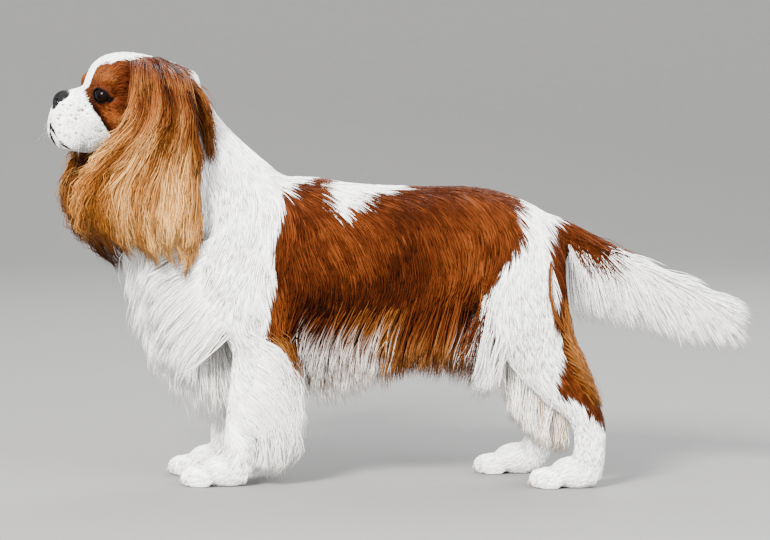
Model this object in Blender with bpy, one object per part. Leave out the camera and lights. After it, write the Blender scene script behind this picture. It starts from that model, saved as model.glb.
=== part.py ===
"""A cavalier king charles spaniel, standing as a still, life-size museum model.

Metres, +Z up. The nose points to -X, the dog's left side is at -Y and the soles stand on z = 0.
"""

import math
import random

import bmesh
import bpy
import numpy as np
from mathutils import Matrix, Vector
from mathutils.bvhtree import BVHTree

# Driving sizes
STANCE_FRONT = 0.043
STANCE_REAR = 0.055
GAP = 0.0003
CLEARANCE = 0.0005
SLIVER = 0.0002
SHORT_EDGES = (0.0018, 0.0014, 0.001, 0.0007, 0.0005, 0.0003, 0.0002, 0.0001, 0.00005)
LEFT, RIGHT = -1, 1

# How finely the flesh is meshed
BODY_VOXEL = 0.003
HEAD_VOXEL = 0.0018
BODY_TRIANGLES = 2900
HEAD_TRIANGLES = 1300

# Head: its place, and its turn towards the dog's left
HEAD_PIVOT = Vector((-0.262, -0.004, 0.404))
HEAD_YAW = math.radians(22)
EYE_RADIUS = 0.0105
EYE_CENTRE = Vector((0.0545, 0.0295, -0.001))
LID_THICKNESS = 0.0017

COLOURS = {
    "white_coat": ((0.86, 0.83, 0.78, 1), 0.75),
    "chestnut_coat": ((0.33, 0.10, 0.03, 1), 0.65),
    "golden_ear": ((0.52, 0.25, 0.09, 1), 0.65),
    "dark_eye": ((0.02, 0.01, 0.008, 1), 0.08),
    "nose_leather": ((0.015, 0.014, 0.014, 1), 0.35),
}

MATERIAL_OF = {"torso": "chestnut_coat", "ear": "golden_ear", "eye": "dark_eye", "nose": "nose_leather"}

# Torso rings: x, top, bottom, height of the widest place, half width
TORSO = [
    (-0.232, 0.244, 0.206, 0.226, 0.020),
    (-0.220, 0.266, 0.182, 0.224, 0.040),
    (-0.200, 0.288, 0.163, 0.222, 0.054),
    (-0.165, 0.305, 0.148, 0.220, 0.065),
    (-0.130, 0.319, 0.142, 0.218, 0.070),
    (-0.090, 0.3205, 0.141, 0.218, 0.072),
    (-0.050, 0.3140, 0.144, 0.220, 0.073),
    (-0.010, 0.3115, 0.149, 0.223, 0.072),
    (0.030, 0.3110, 0.155, 0.228, 0.067),
    (0.070, 0.3110, 0.165, 0.236, 0.060),
    (0.100, 0.3065, 0.176, 0.240, 0.057),
    (0.127, 0.2975, 0.188, 0.240, 0.055),
    (0.150, 0.2850, 0.200, 0.240, 0.047),
    (0.168, 0.2690, 0.215, 0.240, 0.033),
    (0.176, 0.2530, 0.232, 0.242, 0.014),
]

# Paths of the round parts: x, y, z, fore-and-aft radius, sideways radius
NECK = [
    (-0.125, 0.0, 0.235, 0.060, 0.052),
    (-0.160, 0.0, 0.268, 0.066, 0.056),
    (-0.198, 0.0, 0.315, 0.056, 0.050),
    (-0.222, 0.0, 0.353, 0.047, 0.046),
    (-0.236, -0.001, 0.386, 0.041, 0.043),
    (-0.244, -0.002, 0.404, 0.036, 0.040),
]
SHOULDER = [
    (-0.125, 0.034, 0.292, 0.022, 0.012),
    (-0.150, 0.047, 0.262, 0.034, 0.020),
    (-0.176, 0.053, 0.222, 0.037, 0.023),
    (-0.160, 0.054, 0.188, 0.038, 0.023),
    (-0.143, 0.050, 0.158, 0.031, 0.021),
    (-0.143, 0.046, 0.138, 0.026, 0.019),
]
FORELEG = [
    (-0.146, 0.048, 0.165, 0.028, 0.020),
    (-0.150, 0.046, 0.135, 0.0255, 0.0185),
    (-0.157, 0.044, 0.105, 0.0215, 0.0170),
    (-0.162, 0.043, 0.075, 0.0185, 0.0160),
    (-0.1635, 0.043, 0.050, 0.0180, 0.0165),
    (-0.1640, 0.043, 0.032, 0.0175, 0.0165),
    (-0.1700, 0.043, 0.014, 0.0190, 0.0170),
]
THIGH = [
    (0.112, 0.018, 0.268, 0.036, 0.020),
    (0.122, 0.037, 0.232, 0.050, 0.028),
    (0.128, 0.050, 0.200, 0.047, 0.032),
    (0.134, 0.055, 0.168, 0.042, 0.029),
    (0.147, 0.056, 0.134, 0.034, 0.024),
    (0.167, 0.055, 0.105, 0.0255, 0.0190),
    (0.186, 0.055, 0.083, 0.0200, 0.0155),
    (0.1945, 0.055, 0.066, 0.0180, 0.0145),
    (0.1960, 0.055, 0.046, 0.0165, 0.0145),
    (0.1945, 0.055, 0.028, 0.0170, 0.0150),
    (0.1900, 0.055, 0.012, 0.0185, 0.0165),
]
TAIL = [
    (0.140, 0.0, 0.262, 0.024, 0.020),
    (0.165, 0.0, 0.258, 0.0195, 0.017),
    (0.200, 0.0, 0.2445, 0.0155, 0.0135),
    (0.240, 0.0, 0.2265, 0.0125, 0.011),
    (0.280, 0.0, 0.2080, 0.0105, 0.009),
    (0.315, 0.0, 0.1915, 0.0080, 0.007),
    (0.335, 0.0, 0.1800, 0.0040, 0.004),
]

# The right hind foot stands further forward: how far each row of THIGH moves
RIGHT_HIND_STEP = [0, 0, -0.004, -0.008, -0.014, -0.019, -0.024, -0.027, -0.038, -0.048, -0.054]
RIGHT_FORE_STEP = -0.019

# Paws: length of the whole foot, and its toes
PAW_LENGTH = 0.064
TOE_RADIUS = 0.0088
TOE_SPREAD = (-0.0145, -0.0052, 0.0052, 0.0145)
TOE_REACH = (0.0, 0.006, 0.006, 0.0)

# Parting planes between nodes: a point, and the normal towards the second piece
NECK_TOP = (Vector((-0.232, 0, 0.358)), Vector((0.40, 0.0, -0.92)))
NECK_BASE = (Vector((-0.195, 0, 0.292)), Vector((0.55, 0.0, -0.83)))
CHEST_BACK = (Vector((-0.098, 0, 0.22)), Vector((1, 0, 0)))
FORELEG_TOP = (Vector((-0.15, 0, 0.1385)), Vector((0, 0, -1)))
WRIST = (Vector((-0.165, 0, 0.034)), Vector((0, 0, -1)))
TAIL_ROOT = (Vector((0.180, 0, 0.25)), Vector((1, 0, -0.12)))
TAIL_LEVEL = (Vector((0.180, 0, 0.16)), Vector((0, 0, 1)))
THIGH_TOP = (Vector((0.128, 0, 0.205)), Vector((0.58, 0, -0.81)))
CHEST_FRONT = (Vector((-0.206, 0, 0.14)), Vector((1, 0, -0.39)))
THIGH_FRONT = (Vector((0.070, 0, 0.17)), Vector((1, 0, 0)))
HOCKS = {
    "left": (Vector((0.193, 0, 0.064)), Vector((0.25, 0, -0.97))),
    "right": (Vector((0.164, 0, 0.064)), Vector((0.25, 0, -0.97))),
}
MIDDLE = (Vector((0, 0, 0)), Vector((0, -1, 0)))


def catmull(rows, count):
    """The rows, read at count even places along a smooth curve through them."""
    rows = np.asarray(rows, float)
    padded = np.vstack([2 * rows[0] - rows[1], rows, 2 * rows[-1] - rows[-2]])
    places = np.linspace(0, len(rows) - 1, count)
    index = np.minimum(places.astype(int), len(rows) - 2)
    t = (places - index)[:, None]
    a, b, c, d = (padded[index + k] for k in range(4))
    return 0.5 * (2 * b + (c - a) * t + (2 * a - 5 * b + 4 * c - d) * t**2 + (3 * b - a - 3 * c + d) * t**3)


def mesh_of(points, faces):
    """A mesh whose faces point outwards."""
    mesh = bpy.data.meshes.new("shape")
    mesh.from_pydata([tuple(p) for p in points], [], faces)
    bm = bmesh.new()
    bm.from_mesh(mesh)
    bmesh.ops.recalc_face_normals(bm, faces=bm.faces)
    bm.to_mesh(mesh)
    bm.free()
    return mesh


def add_object(name, mesh):
    obj = bpy.data.objects.new(name, mesh)
    bpy.context.scene.collection.objects.link(obj)
    return obj


def remove_object(obj):
    bpy.data.objects.remove(obj, do_unlink=True)


def evaluated(obj):
    """The object's mesh with its modifiers, as a mesh of its own."""
    graph = bpy.context.evaluated_depsgraph_get()
    return bpy.data.meshes.new_from_object(obj.evaluated_get(graph))


def loft(rings):
    """A closed mesh through rings of equal size, with a middle point in each end."""
    rings = np.asarray(rings, float)
    count, sides, _ = rings.shape
    points = np.vstack([rings.reshape(-1, 3), rings[0].mean(0), rings[-1].mean(0)])
    first, last = count * sides, count * sides + 1
    faces = []
    for side in range(sides):
        after = (side + 1) % sides
        for ring in range(count - 1):
            low, high = ring * sides, (ring + 1) * sides
            faces.append((low + side, low + after, high + after, high + side))
        faces.append((first, after, side))
        end = (count - 1) * sides
        faces.append((last, end + side, end + after))
    return mesh_of(points, faces)


def superellipse(sides, power):
    """Cosines and sines of a ring that is a little squarer than a circle."""
    turn = np.linspace(0, 2 * math.pi, sides, endpoint=False)
    cosine, sine = np.cos(turn), np.sin(turn)
    return np.sign(cosine) * abs(cosine) ** (2 / power), np.sign(sine) * abs(sine) ** (2 / power)


def torso_loft(rows, count=34, sides=28, power=2.25):
    """The barrel of the body: rings across X."""
    across, upward = superellipse(sides, power)
    rings = []
    for x, top, bottom, wide, half in catmull(rows, count):
        height = np.where(upward > 0, top - wide, wide - bottom)
        rings.append(np.column_stack([np.full(sides, x), half * across, wide + height * upward]))
    return loft(rings)


def limb(rows, count=26, sides=20, across=(0, 1, 0)):
    """A round part along a path, wider fore and aft or sideways as its rows say."""
    rows = catmull(rows, count)
    centres = rows[:, :3]
    tangents = np.gradient(centres, axis=0)
    cosine, sine = superellipse(sides, 2)
    rings = []
    for centre, tangent, (deep, wide) in zip(centres, tangents, rows[:, 3:5]):
        along = Vector(tangent).normalized()
        sideways = (Vector(across) - along * along.dot(Vector(across))).normalized()
        forward = along.cross(sideways)
        rings.append(
            centre + np.outer(cosine * wide, sideways) + np.outer(sine * deep, forward)
        )
    return loft(rings)


def mirrored(rows, side):
    """Rows of the right side as they are, or of the left."""
    return [(row[0], side * row[1], *row[2:]) for row in rows]


def ellipsoid(centre, sizes, turn=None, segments=24, rings=16):
    """A stretched ball; turn is a rotation matrix."""
    bm = bmesh.new()
    bmesh.ops.create_uvsphere(bm, u_segments=segments, v_segments=rings, radius=1)
    place = Matrix.Translation(Vector(centre)) @ (turn or Matrix.Identity(4)) @ Matrix.Diagonal((*sizes, 1))
    bm.transform(place)
    mesh = bpy.data.meshes.new("ball")
    bm.to_mesh(mesh)
    bm.free()
    return mesh


def joined(meshes):
    """One mesh that holds them all, not yet united."""
    bm = bmesh.new()
    for mesh in meshes:
        bm.from_mesh(mesh)
    mesh = bpy.data.meshes.new("joined")
    bm.to_mesh(mesh)
    bm.free()
    return mesh


def remeshed(mesh, voxel):
    """The union of a mesh's closed bodies, as one even skin."""
    obj = add_object("remesh", mesh)
    remesh = obj.modifiers.new("skin", "REMESH")
    remesh.mode = "VOXEL"
    remesh.voxel_size = voxel
    made = evaluated(obj)
    remove_object(obj)
    return made


def relaxed(mesh, rounds, pull=0.6, push=-0.62):
    """Smooths a mesh without shrinking it much: each round pulls in, then pushes out."""
    points = np.empty(len(mesh.vertices) * 3)
    mesh.vertices.foreach_get("co", points)
    points = points.reshape(-1, 3)
    edges = np.empty(len(mesh.edges) * 2, np.int32)
    mesh.edges.foreach_get("vertices", edges)
    ends = np.concatenate([edges.reshape(-1, 2), edges.reshape(-1, 2)[:, ::-1]])
    degree = np.maximum(np.bincount(ends[:, 0], minlength=len(points)), 1)[:, None]
    for step in [pull, push] * rounds:
        total = np.column_stack(
            [np.bincount(ends[:, 0], points[ends[:, 1], k], len(points)) for k in range(3)]
        )
        points = points + step * (total / degree - points)
    mesh.vertices.foreach_set("co", points.ravel())
    mesh.update()
    return mesh


def decimated(mesh, triangles):
    """The mesh with about that many triangles."""
    obj = add_object("decimate", mesh)
    fewer = obj.modifiers.new("fewer", "DECIMATE")
    fewer.ratio = triangles / (2 * len(mesh.polygons))
    fewer.use_collapse_triangulate = True
    made = evaluated(obj)
    remove_object(obj)
    return made


def halved(mesh, point, normal):
    """The part of a closed mesh on the far side of a plane, its cut filled flat."""
    bm = bmesh.new()
    bm.from_mesh(mesh)
    cut = bmesh.ops.bisect_plane(
        bm,
        geom=bm.verts[:] + bm.edges[:] + bm.faces[:],
        plane_co=point,
        plane_no=normal,
        clear_inner=True,
    )
    rim = [item for item in cut["geom_cut"] if isinstance(item, bmesh.types.BMEdge)]
    bmesh.ops.holes_fill(bm, edges=rim, sides=0)
    bmesh.ops.remove_doubles(bm, verts=bm.verts, dist=SLIVER)
    bmesh.ops.dissolve_degenerate(bm, edges=bm.edges, dist=SLIVER / 10)
    bmesh.ops.triangulate(bm, faces=[face for face in bm.faces if len(face.verts) > 3])
    made = bpy.data.meshes.new("half")
    bm.to_mesh(made)
    bm.free()
    return made


def parted(mesh, plane):
    """The two parts of a mesh before and behind a plane, a gap apart."""
    return before(mesh, plane), beyond(mesh, plane)


def before(mesh, plane):
    """The part of a mesh before a plane, half a gap short of it."""
    normal = plane[1].normalized()
    return halved(mesh, plane[0] - normal * GAP / 2, -normal)


def beyond(mesh, plane):
    """The part of a mesh behind a plane, half a gap clear of it."""
    normal = plane[1].normalized()
    return halved(mesh, plane[0] + normal * GAP / 2, normal)


def cut_limbs(mesh, level, face):
    """A trunk and its two legs: the legs are what lies behind both planes."""
    block = bounded_block(level, face, GAP / 2)
    legs = combined(mesh, [bounded_block(level, face, -GAP / 2)], "INTERSECT")
    return combined(mesh, [block], "DIFFERENCE"), legs


def bounded_block(level, face, grow):
    """A large block behind two planes, moved out by grow on both."""
    bm = bmesh.new()
    bmesh.ops.create_cube(bm, size=2)
    made = bpy.data.meshes.new("block")
    bm.to_mesh(made)
    bm.free()
    for point, normal in (level, face):
        normal = normal.normalized()
        made = halved(made, point - normal * grow, normal)
    return made


def largest(mesh):
    """Only the mesh's largest closed surface."""
    bm = bmesh.new()
    bm.from_mesh(mesh)
    seen, best, best_size = set(), [], 0.0
    for start in bm.faces:
        if start in seen:
            continue
        group, stack = [], [start]
        seen.add(start)
        while stack:
            face = stack.pop()
            group.append(face)
            for edge in face.edges:
                for other in edge.link_faces:
                    if other not in seen:
                        seen.add(other)
                        stack.append(other)
        size = sum(face.calc_area() for face in group)
        if size > best_size:
            best, best_size = group, size
    keep = set(best)
    bmesh.ops.delete(bm, geom=[face for face in bm.faces if face not in keep], context="FACES")
    made = bpy.data.meshes.new("largest")
    bm.to_mesh(made)
    bm.free()
    return made


def combined(mesh, others, operation):
    """A Boolean of a mesh with a collection of closed meshes."""
    made = boolean_of(mesh, others, operation, "EXACT")
    return made if closed(made) else boolean_of(mesh, others, operation, "MANIFOLD")


def boolean_of(mesh, others, operation, solver):
    obj = add_object("base", mesh)
    group = bpy.data.collections.new("operands")
    bpy.context.scene.collection.children.link(group)
    extra = [bpy.data.objects.new("operand", other) for other in others]
    for item in extra:
        group.objects.link(item)
    boolean = obj.modifiers.new("boolean", "BOOLEAN")
    boolean.operation = operation
    boolean.solver = solver
    boolean.operand_type = "COLLECTION"
    boolean.collection = group
    made = evaluated(obj)
    for item in [*extra, obj]:
        remove_object(item)
    bpy.data.collections.remove(group)
    return made


def closed(mesh):
    """Whether every edge of a mesh lies between two faces."""
    loops = np.empty(len(mesh.loops), np.int32)
    mesh.loops.foreach_get("edge_index", loops)
    return bool(np.all(np.bincount(loops, minlength=len(mesh.edges)) == 2))


def grown(mesh, by):
    """A copy of a mesh, moved outwards along its normals."""
    copy = mesh.copy()
    points = [vertex.co + vertex.normal * by for vertex in mesh.vertices]
    for vertex, point in zip(copy.vertices, points):
        vertex.co = point
    copy.update()
    return copy


def paw_meshes(heel, side):
    """A foot with four toes, its toes towards -X; heel is the point under the leg."""
    x, y = heel
    toe_row = x - PAW_LENGTH * 0.50
    pieces = [
        limb(
            [
                (x + 0.014, y, 0.010, 0.009, 0.012),
                (x, y, 0.014, 0.017, 0.0165),
                (x - 0.018, y, 0.0150, 0.0165, 0.0185),
                (toe_row, y, 0.0115, 0.0125, 0.0180),
                (toe_row - 0.009, y, 0.009, 0.0075, 0.0120),
            ],
            count=12,
            sides=16,
        )
    ]
    for spread, reach in zip(TOE_SPREAD, TOE_REACH):
        pieces.append(
            ellipsoid(
                (toe_row - 0.004 - reach, y + side * spread, 0.0085),
                (0.0150, TOE_RADIUS * 0.72, 0.0115),
                segments=16,
                rings=10,
            )
        )
    return pieces


def shifted(rows, steps):
    return [(row[0] + step, *row[1:]) for row, step in zip(rows, steps)]


def fore_rows(side):
    step = RIGHT_FORE_STEP if side == RIGHT else 0.0
    share = [0, 0.15, 0.5, 0.85, 1, 1, 1]
    rows = [(x, y * STANCE_FRONT / 0.043, *rest) for x, y, *rest in FORELEG]
    return mirrored(shifted(rows, [step * s for s in share]), side)


def hind_rows(side):
    rows = shifted(THIGH, RIGHT_HIND_STEP) if side == RIGHT else THIGH
    return mirrored(rows, side)


# Long coat of the chest: height of the roots, their spread, then x and z of the tips, how many
APRON = [
    (0.288, 0.032, -0.2885, 0.216, 3),
    (0.258, 0.034, -0.2880, 0.182, 3),
    (0.228, 0.034, -0.2800, 0.150, 3),
    (0.198, 0.030, -0.2680, 0.116, 2),
    (0.170, 0.014, -0.2490, 0.081, 2),
]
# The same on each side of the chest: x and z of the root, x and z of the tip
APRON_SIDE = [
    (-0.214, 0.268, -0.273, 0.196),
    (-0.212, 0.236, -0.261, 0.154),
    (-0.205, 0.204, -0.249, 0.122),
    (-0.198, 0.176, -0.238, 0.094),
    (-0.194, 0.220, -0.232, 0.138),
    (-0.184, 0.188, -0.218, 0.104),
]
BRISKET = [(-0.196, -0.012, 0.152, -0.226, 0.082), (-0.184, 0.010, 0.148, -0.203, 0.054)]
# Belly fringe, along the body: x of the tip, z of the tip
FRINGE = [
    (-0.108, 0.092),
    (-0.085, 0.082),
    (-0.055, 0.079),
    (-0.025, 0.087),
    (0.000, 0.100),
    (0.025, 0.101),
    (0.055, 0.103),
    (0.075, 0.097),
    (0.094, 0.087),
]
# Plume of the tail: x, then z of its upper and lower edges
PLUME = [
    (0.190, 0.262, 0.170),
    (0.230, 0.244, 0.163),
    (0.270, 0.228, 0.152),
    (0.300, 0.214, 0.142),
    (0.330, 0.201, 0.146),
    (0.350, 0.190, 0.140),
    (0.368, 0.174, 0.166),
]
# Feathering behind a foreleg: z of the root, x and z of the tip
FORE_FEATHER = [
    (0.127, -0.1075, 0.096),
    (0.120, -0.1055, 0.080),
    (0.104, -0.1050, 0.062),
    (0.088, -0.1065, 0.044),
    (0.072, -0.1080, 0.027),
    (0.058, -0.1130, 0.014),
    (0.046, -0.1240, 0.010),
]
# Feathering behind a thigh down to its hock: x and z of the root, x and z of the tip
THIGH_FEATHER = [
    (0.178, 0.190, 0.179, 0.142),
    (0.174, 0.168, 0.188, 0.122),
    (0.176, 0.146, 0.200, 0.106),
    (0.182, 0.128, 0.2085, 0.088),
    (0.190, 0.112, 0.2115, 0.073),
]
# Long hair that hangs inside the right thigh: x and z of the root, x and z of the tip
INNER_FEATHER = [
    (0.120, 0.150, 0.118, 0.070),
    (0.132, 0.136, 0.128, 0.046),
    (0.146, 0.124, 0.142, 0.034),
    (0.160, 0.112, 0.158, 0.028),
    (0.170, 0.104, 0.172, 0.030),
]
LOCK_SINK = 0.005
LOCK_SHAPE = (0.78, 1.0, 0.74)


def lock(points, face, width, thickness):
    """A flat tapered lock along a path of four points, its flat side turned to face."""
    points = [Vector(point) for point in points]
    rings = []
    for k, share in enumerate(LOCK_SHAPE):
        along = (points[k + 1] - points[max(0, k - 1)]).normalized()
        across = along.cross(face).normalized()
        out = across.cross(along)
        wide, deep = across * width * share / 2, out * thickness * share / 2
        rings.append([points[k] + offset for offset in (wide, deep, -wide, -deep)])
    corners = [corner for ring in rings for corner in ring] + [points[-1]]
    faces = [(0, 1, 2, 3)]
    for ring in range(len(rings) - 1):
        for side in range(4):
            low, after = ring * 4 + side, ring * 4 + (side + 1) % 4
            faces += [(low, after, low + 4), (after, after + 4, low + 4)]
    last = 4 * (len(rings) - 1)
    faces += [(last + side, last + (side + 1) % 4, len(corners) - 1) for side in range(4)]
    return mesh_of(corners, faces)


def hanging_lock(tree, root, tip, heading, width, face=None, lift=0.006, thickness=0.005):
    """A lock from the surface nearest to root out to tip, where it points along heading."""
    place, normal, _, _ = tree.find_nearest(Vector(root))
    tip, heading = Vector(tip), Vector(heading).normalized()
    reach = (tip - place).length
    bends = [place, place + normal * lift + (tip - place) * 0.2, tip - heading * reach * 0.4, tip]
    points = [place - normal * LOCK_SINK]
    for t in (0.30, 0.66, 1.0):
        weights = ((1 - t) ** 3, 3 * t * (1 - t) ** 2, 3 * t * t * (1 - t), t**3)
        points.append(sum((bend * weight for bend, weight in zip(bends, weights)), Vector()))
    return lock(points, Vector(face) if face else normal, width, thickness)


def tree_of(mesh):
    return BVHTree.FromPolygons([v.co for v in mesh.vertices], [p.vertices for p in mesh.polygons])


def apron_locks(chest):
    rng = random.Random(5)
    tree = tree_of(chest)
    locks = []
    for row, (root_z, spread, tip_x, tip_z, count) in enumerate(APRON):
        for k in range(count):
            y = spread * (2 * k / (count - 1) - 1)
            side = abs(y) / 0.045
            tip = (
                tip_x + 0.016 * side**2 + rng.uniform(0, 0.003),
                y * 0.95,
                tip_z + 0.010 * side**2 + rng.uniform(-0.003, 0.004),
            )
            face = (-1, 22 * y, 0)
            locks.append(hanging_lock(tree, (-0.30, y, root_z), tip, (0.10, 0, -1), 0.027, face, 0.018, 0.010))
    for side in (LEFT, RIGHT):
        for x, z, tip_x, tip_z in APRON_SIDE:
            reach = (tip_z - 0.09) / 0.12
            tip = (tip_x, side * (0.026 + 0.020 * reach), tip_z + rng.uniform(-0.003, 0.003))
            face = (-0.4, side, 0)
            locks.append(hanging_lock(tree, (x, side * 0.07, z), tip, (0.05, 0, -1), 0.030, face, 0.010, 0.007))
    for x, y, z, tip_x, tip_z in BRISKET:
        locks.append(hanging_lock(tree, (x, y, z), (tip_x, y, tip_z), (0.2, 0, -1), 0.024, (-0.6, -1, 0), 0.004))
    return locks


def fringe_locks(torso):
    """Rows of locks under the belly, down its sides and along its middle."""
    rng = random.Random(9)
    tree = tree_of(torso)
    edge = np.array(FRINGE)
    locks = []
    for side in (LEFT, RIGHT):
        for k in range(7):
            x = -0.078 + 0.0270 * k
            tip_x = x - 0.010 + rng.uniform(-0.003, 0.003)
            tip_z = np.interp(tip_x, edge[:, 0], edge[:, 1]) + rng.uniform(0, 0.004)
            tip = (tip_x, side * 0.030, tip_z)
            locks.append(hanging_lock(tree, (x, side * 0.05, 0.12), tip, (-0.25, 0, -1), 0.033, (0, side, 0.1)))
            tip = (tip_x - 0.012, side * 0.053, tip_z + 0.034)
            if tip[0] > -0.096:
                locks.append(
                    hanging_lock(tree, (x, side * 0.1, 0.195), tip, (-0.4, -side * 0.2, -1), 0.033, (0, side, 0.1), 0.004)
                )
    for k in range(3):
        x = -0.062 + 0.055 * k
        tip_z = np.interp(x, edge[:, 0], edge[:, 1]) + 0.012
        locks.append(hanging_lock(tree, (x, 0, 0.1), (x - 0.012, 0, tip_z), (-0.25, 0, -1), 0.028, (0, 1, 0)))
    return locks


def plume_locks(tail):
    rng = random.Random(13)
    tree = tree_of(tail)
    edge = np.array(PLUME)
    locks = []
    for k in range(6):
        x = 0.192 + 0.0265 * k
        for row, (share, y, length) in enumerate(((1.0, 0.0, 0.036), (0.62, 0.008, 0.044), (0.62, -0.008, 0.044))):
            tip_x = min(0.366, x + length + rng.uniform(-0.003, 0.003))
            top, bottom = (np.interp(tip_x, edge[:, 0], edge[:, j]) for j in (1, 2))
            root_z = np.interp(x, edge[:, 0], edge[:, 1]) - 0.022
            tip = (tip_x, y * 1.6, top + (bottom - top) * share + rng.uniform(-0.003, 0.003))
            root = (x, y * 2, root_z - (0.02 if row == 0 else 0))
            locks.append(hanging_lock(tree, root, tip, (0.75, 0, -0.5), 0.035, (0, -1 if y <= 0 else 1, 0), 0.002))
    for k in range(2):
        tip_x = 0.338 + 0.0290 * k
        top = np.interp(tip_x, edge[:, 0], edge[:, 1])
        root = (min(0.330, tip_x - 0.040), 0.004 * (-1) ** k, top)
        locks.append(hanging_lock(tree, root, (tip_x, 0.002 * (-1) ** k, top - 0.002), (0.9, 0, -0.4), 0.018, (0, 1, 0), 0.002))
    return locks


def fore_feather(leg, side):
    rng = random.Random(17 + side)
    tree = tree_of(leg)
    step = RIGHT_FORE_STEP if side == RIGHT else 0.0
    locks = []
    for k, (root_z, tip_x, tip_z) in enumerate(FORE_FEATHER):
        move = step * (0.5 + 0.5 * k / 6)
        y = side * (STANCE_FRONT + 0.005 * (-1) ** k)
        root = (-0.125 + move, y, root_z)
        tip = (tip_x + move, y + rng.uniform(-0.002, 0.002), tip_z)
        locks.append(hanging_lock(tree, root, tip, (0.1, 0, -1), 0.024, (0, side, 0), 0.012, 0.007))
    return locks


def thigh_feather(leg, side):
    rng = random.Random(23 + side)
    tree = tree_of(leg)
    locks = []
    for k, (x, z, tip_x, tip_z) in enumerate(THIGH_FEATHER):
        move = -0.005 * (k + 1) if side == RIGHT else 0.0
        y = side * (STANCE_REAR + 0.004 * (-1) ** k)
        tip = (tip_x + move, y + rng.uniform(-0.002, 0.002), tip_z)
        locks.append(hanging_lock(tree, (x + move, y, z), tip, (0.2, 0, -1), 0.022, (0.5, side, 0), 0.004))
    if side == RIGHT:
        for k, (x, z, tip_x, tip_z) in enumerate(INNER_FEATHER):
            y = STANCE_REAR - 0.016 + 0.004 * (-1) ** k
            locks.append(hanging_lock(tree, (x, y, z), (tip_x, y - 0.004, tip_z), (0.1, 0, -1), 0.022, (0, -1, 0)))
    return locks


def long_coat(cores):
    """The locks of each node, by name."""
    coat = {
        "chest": apron_locks(cores["chest"]),
        "torso": fringe_locks(cores["torso"]),
        "tail": plume_locks(cores["tail"]),
    }
    for side, name in ((LEFT, "left"), (RIGHT, "right")):
        coat["ear_" + name] = ear_locks(side)
        coat["foreleg_" + name] = fore_feather(cores["foreleg_" + name], side)
        coat["thigh_" + name] = thigh_feather(cores["thigh_" + name], side)
    return coat


def body_mesh():
    """Torso, neck, legs, paws and tail as one skin, standing on z = 0."""
    pieces = [torso_loft(TORSO), limb(NECK), limb(TAIL)]
    for side in (LEFT, RIGHT):
        fore, hind = fore_rows(side), hind_rows(side)
        pieces.append(limb(mirrored(SHOULDER, side)))
        pieces.append(limb(fore))
        pieces.append(limb(hind, count=34))
        pieces += paw_meshes(fore[-1][:2], side)
        pieces += paw_meshes(hind[-1][:2], side)
    skin = relaxed(remeshed(joined(pieces), BODY_VOXEL), 24)
    skin = decimated(skin, BODY_TRIANGLES)
    return halved(skin, Vector((0, 0, 0)), Vector((0, 0, 1)))


def head_place():
    """From the head's own axes (forward, to its left, up) to the model's."""
    turn = Matrix.Rotation(HEAD_YAW, 4, "Z")
    axes = Matrix(((-1, 0, 0, 0), (0, -1, 0, 0), (0, 0, 1, 0), (0, 0, 0, 1)))
    return Matrix.Translation(HEAD_PIVOT) @ turn @ axes


# Head rings: forward, top, bottom, height of the widest place, half width
SKULL = [
    (-0.0575, 0.018, -0.010, 0.005, 0.012),
    (-0.0500, 0.0265, -0.024, 0.005, 0.031),
    (-0.0350, 0.0335, -0.036, 0.004, 0.0425),
    (-0.0150, 0.0395, -0.043, 0.003, 0.0470),
    (0.0060, 0.0435, -0.048, 0.002, 0.0470),
    (0.0280, 0.0440, -0.052, 0.001, 0.0440),
    (0.0440, 0.0405, -0.056, 0.000, 0.0395),
    (0.0550, 0.0330, -0.0585, -0.006, 0.0355),
    (0.0615, 0.0230, -0.0600, -0.012, 0.0330),
    (0.0665, 0.0105, -0.0605, -0.018, 0.0310),
    (0.0750, 0.0070, -0.0595, -0.022, 0.0290),
    (0.0860, 0.0040, -0.0570, -0.024, 0.0275),
    (0.0950, -0.0020, -0.0520, -0.025, 0.0240),
    (0.1000, -0.0110, -0.0450, -0.027, 0.0180),
    (0.1040, -0.0200, -0.0370, -0.028, 0.0090),
]
# Pads of flesh on each side of the head: centre (forward, sideways, up) and half sizes
PADS = [
    ((0.026, 0.029, -0.020), (0.036, 0.0200, 0.033)),
    ((0.057, 0.0215, -0.021), (0.024, 0.0165, 0.019)),
    ((0.048, 0.0230, 0.0125), (0.016, 0.0160, 0.0135)),
    ((0.083, 0.0135, -0.033), (0.0205, 0.0150, 0.0245)),
    ((0.000, 0.0360, 0.010), (0.030, 0.0160, 0.022)),
]
CHIN = ((0.086, 0, -0.0475), (0.0155, 0.0150, 0.0125))
# The line of the mouth on one side: forward, sideways, up
MOUTH = [
    (0.1055, 0.000, -0.0300),
    (0.1045, 0.006, -0.0350),
    (0.1010, 0.0115, -0.0420),
    (0.0950, 0.0165, -0.0485),
    (0.0870, 0.0205, -0.0545),
    (0.0770, 0.0235, -0.0585),
    (0.0660, 0.0260, -0.0580),
]
MOUTH_WIDTH = 0.0016
NOSE_CENTRE = (0.0880, 0, -0.0060)
NOSE_SIZES = (0.0125, 0.0136, 0.0104)
NOSTRIL = ((0.0995, 0.0062, -0.0062), (0.0042, 0.0026, 0.0027))
NOSTRIL_SLIT = ((0.0945, 0.0108, -0.0082), (0.0050, 0.0030, 0.0014))


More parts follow.
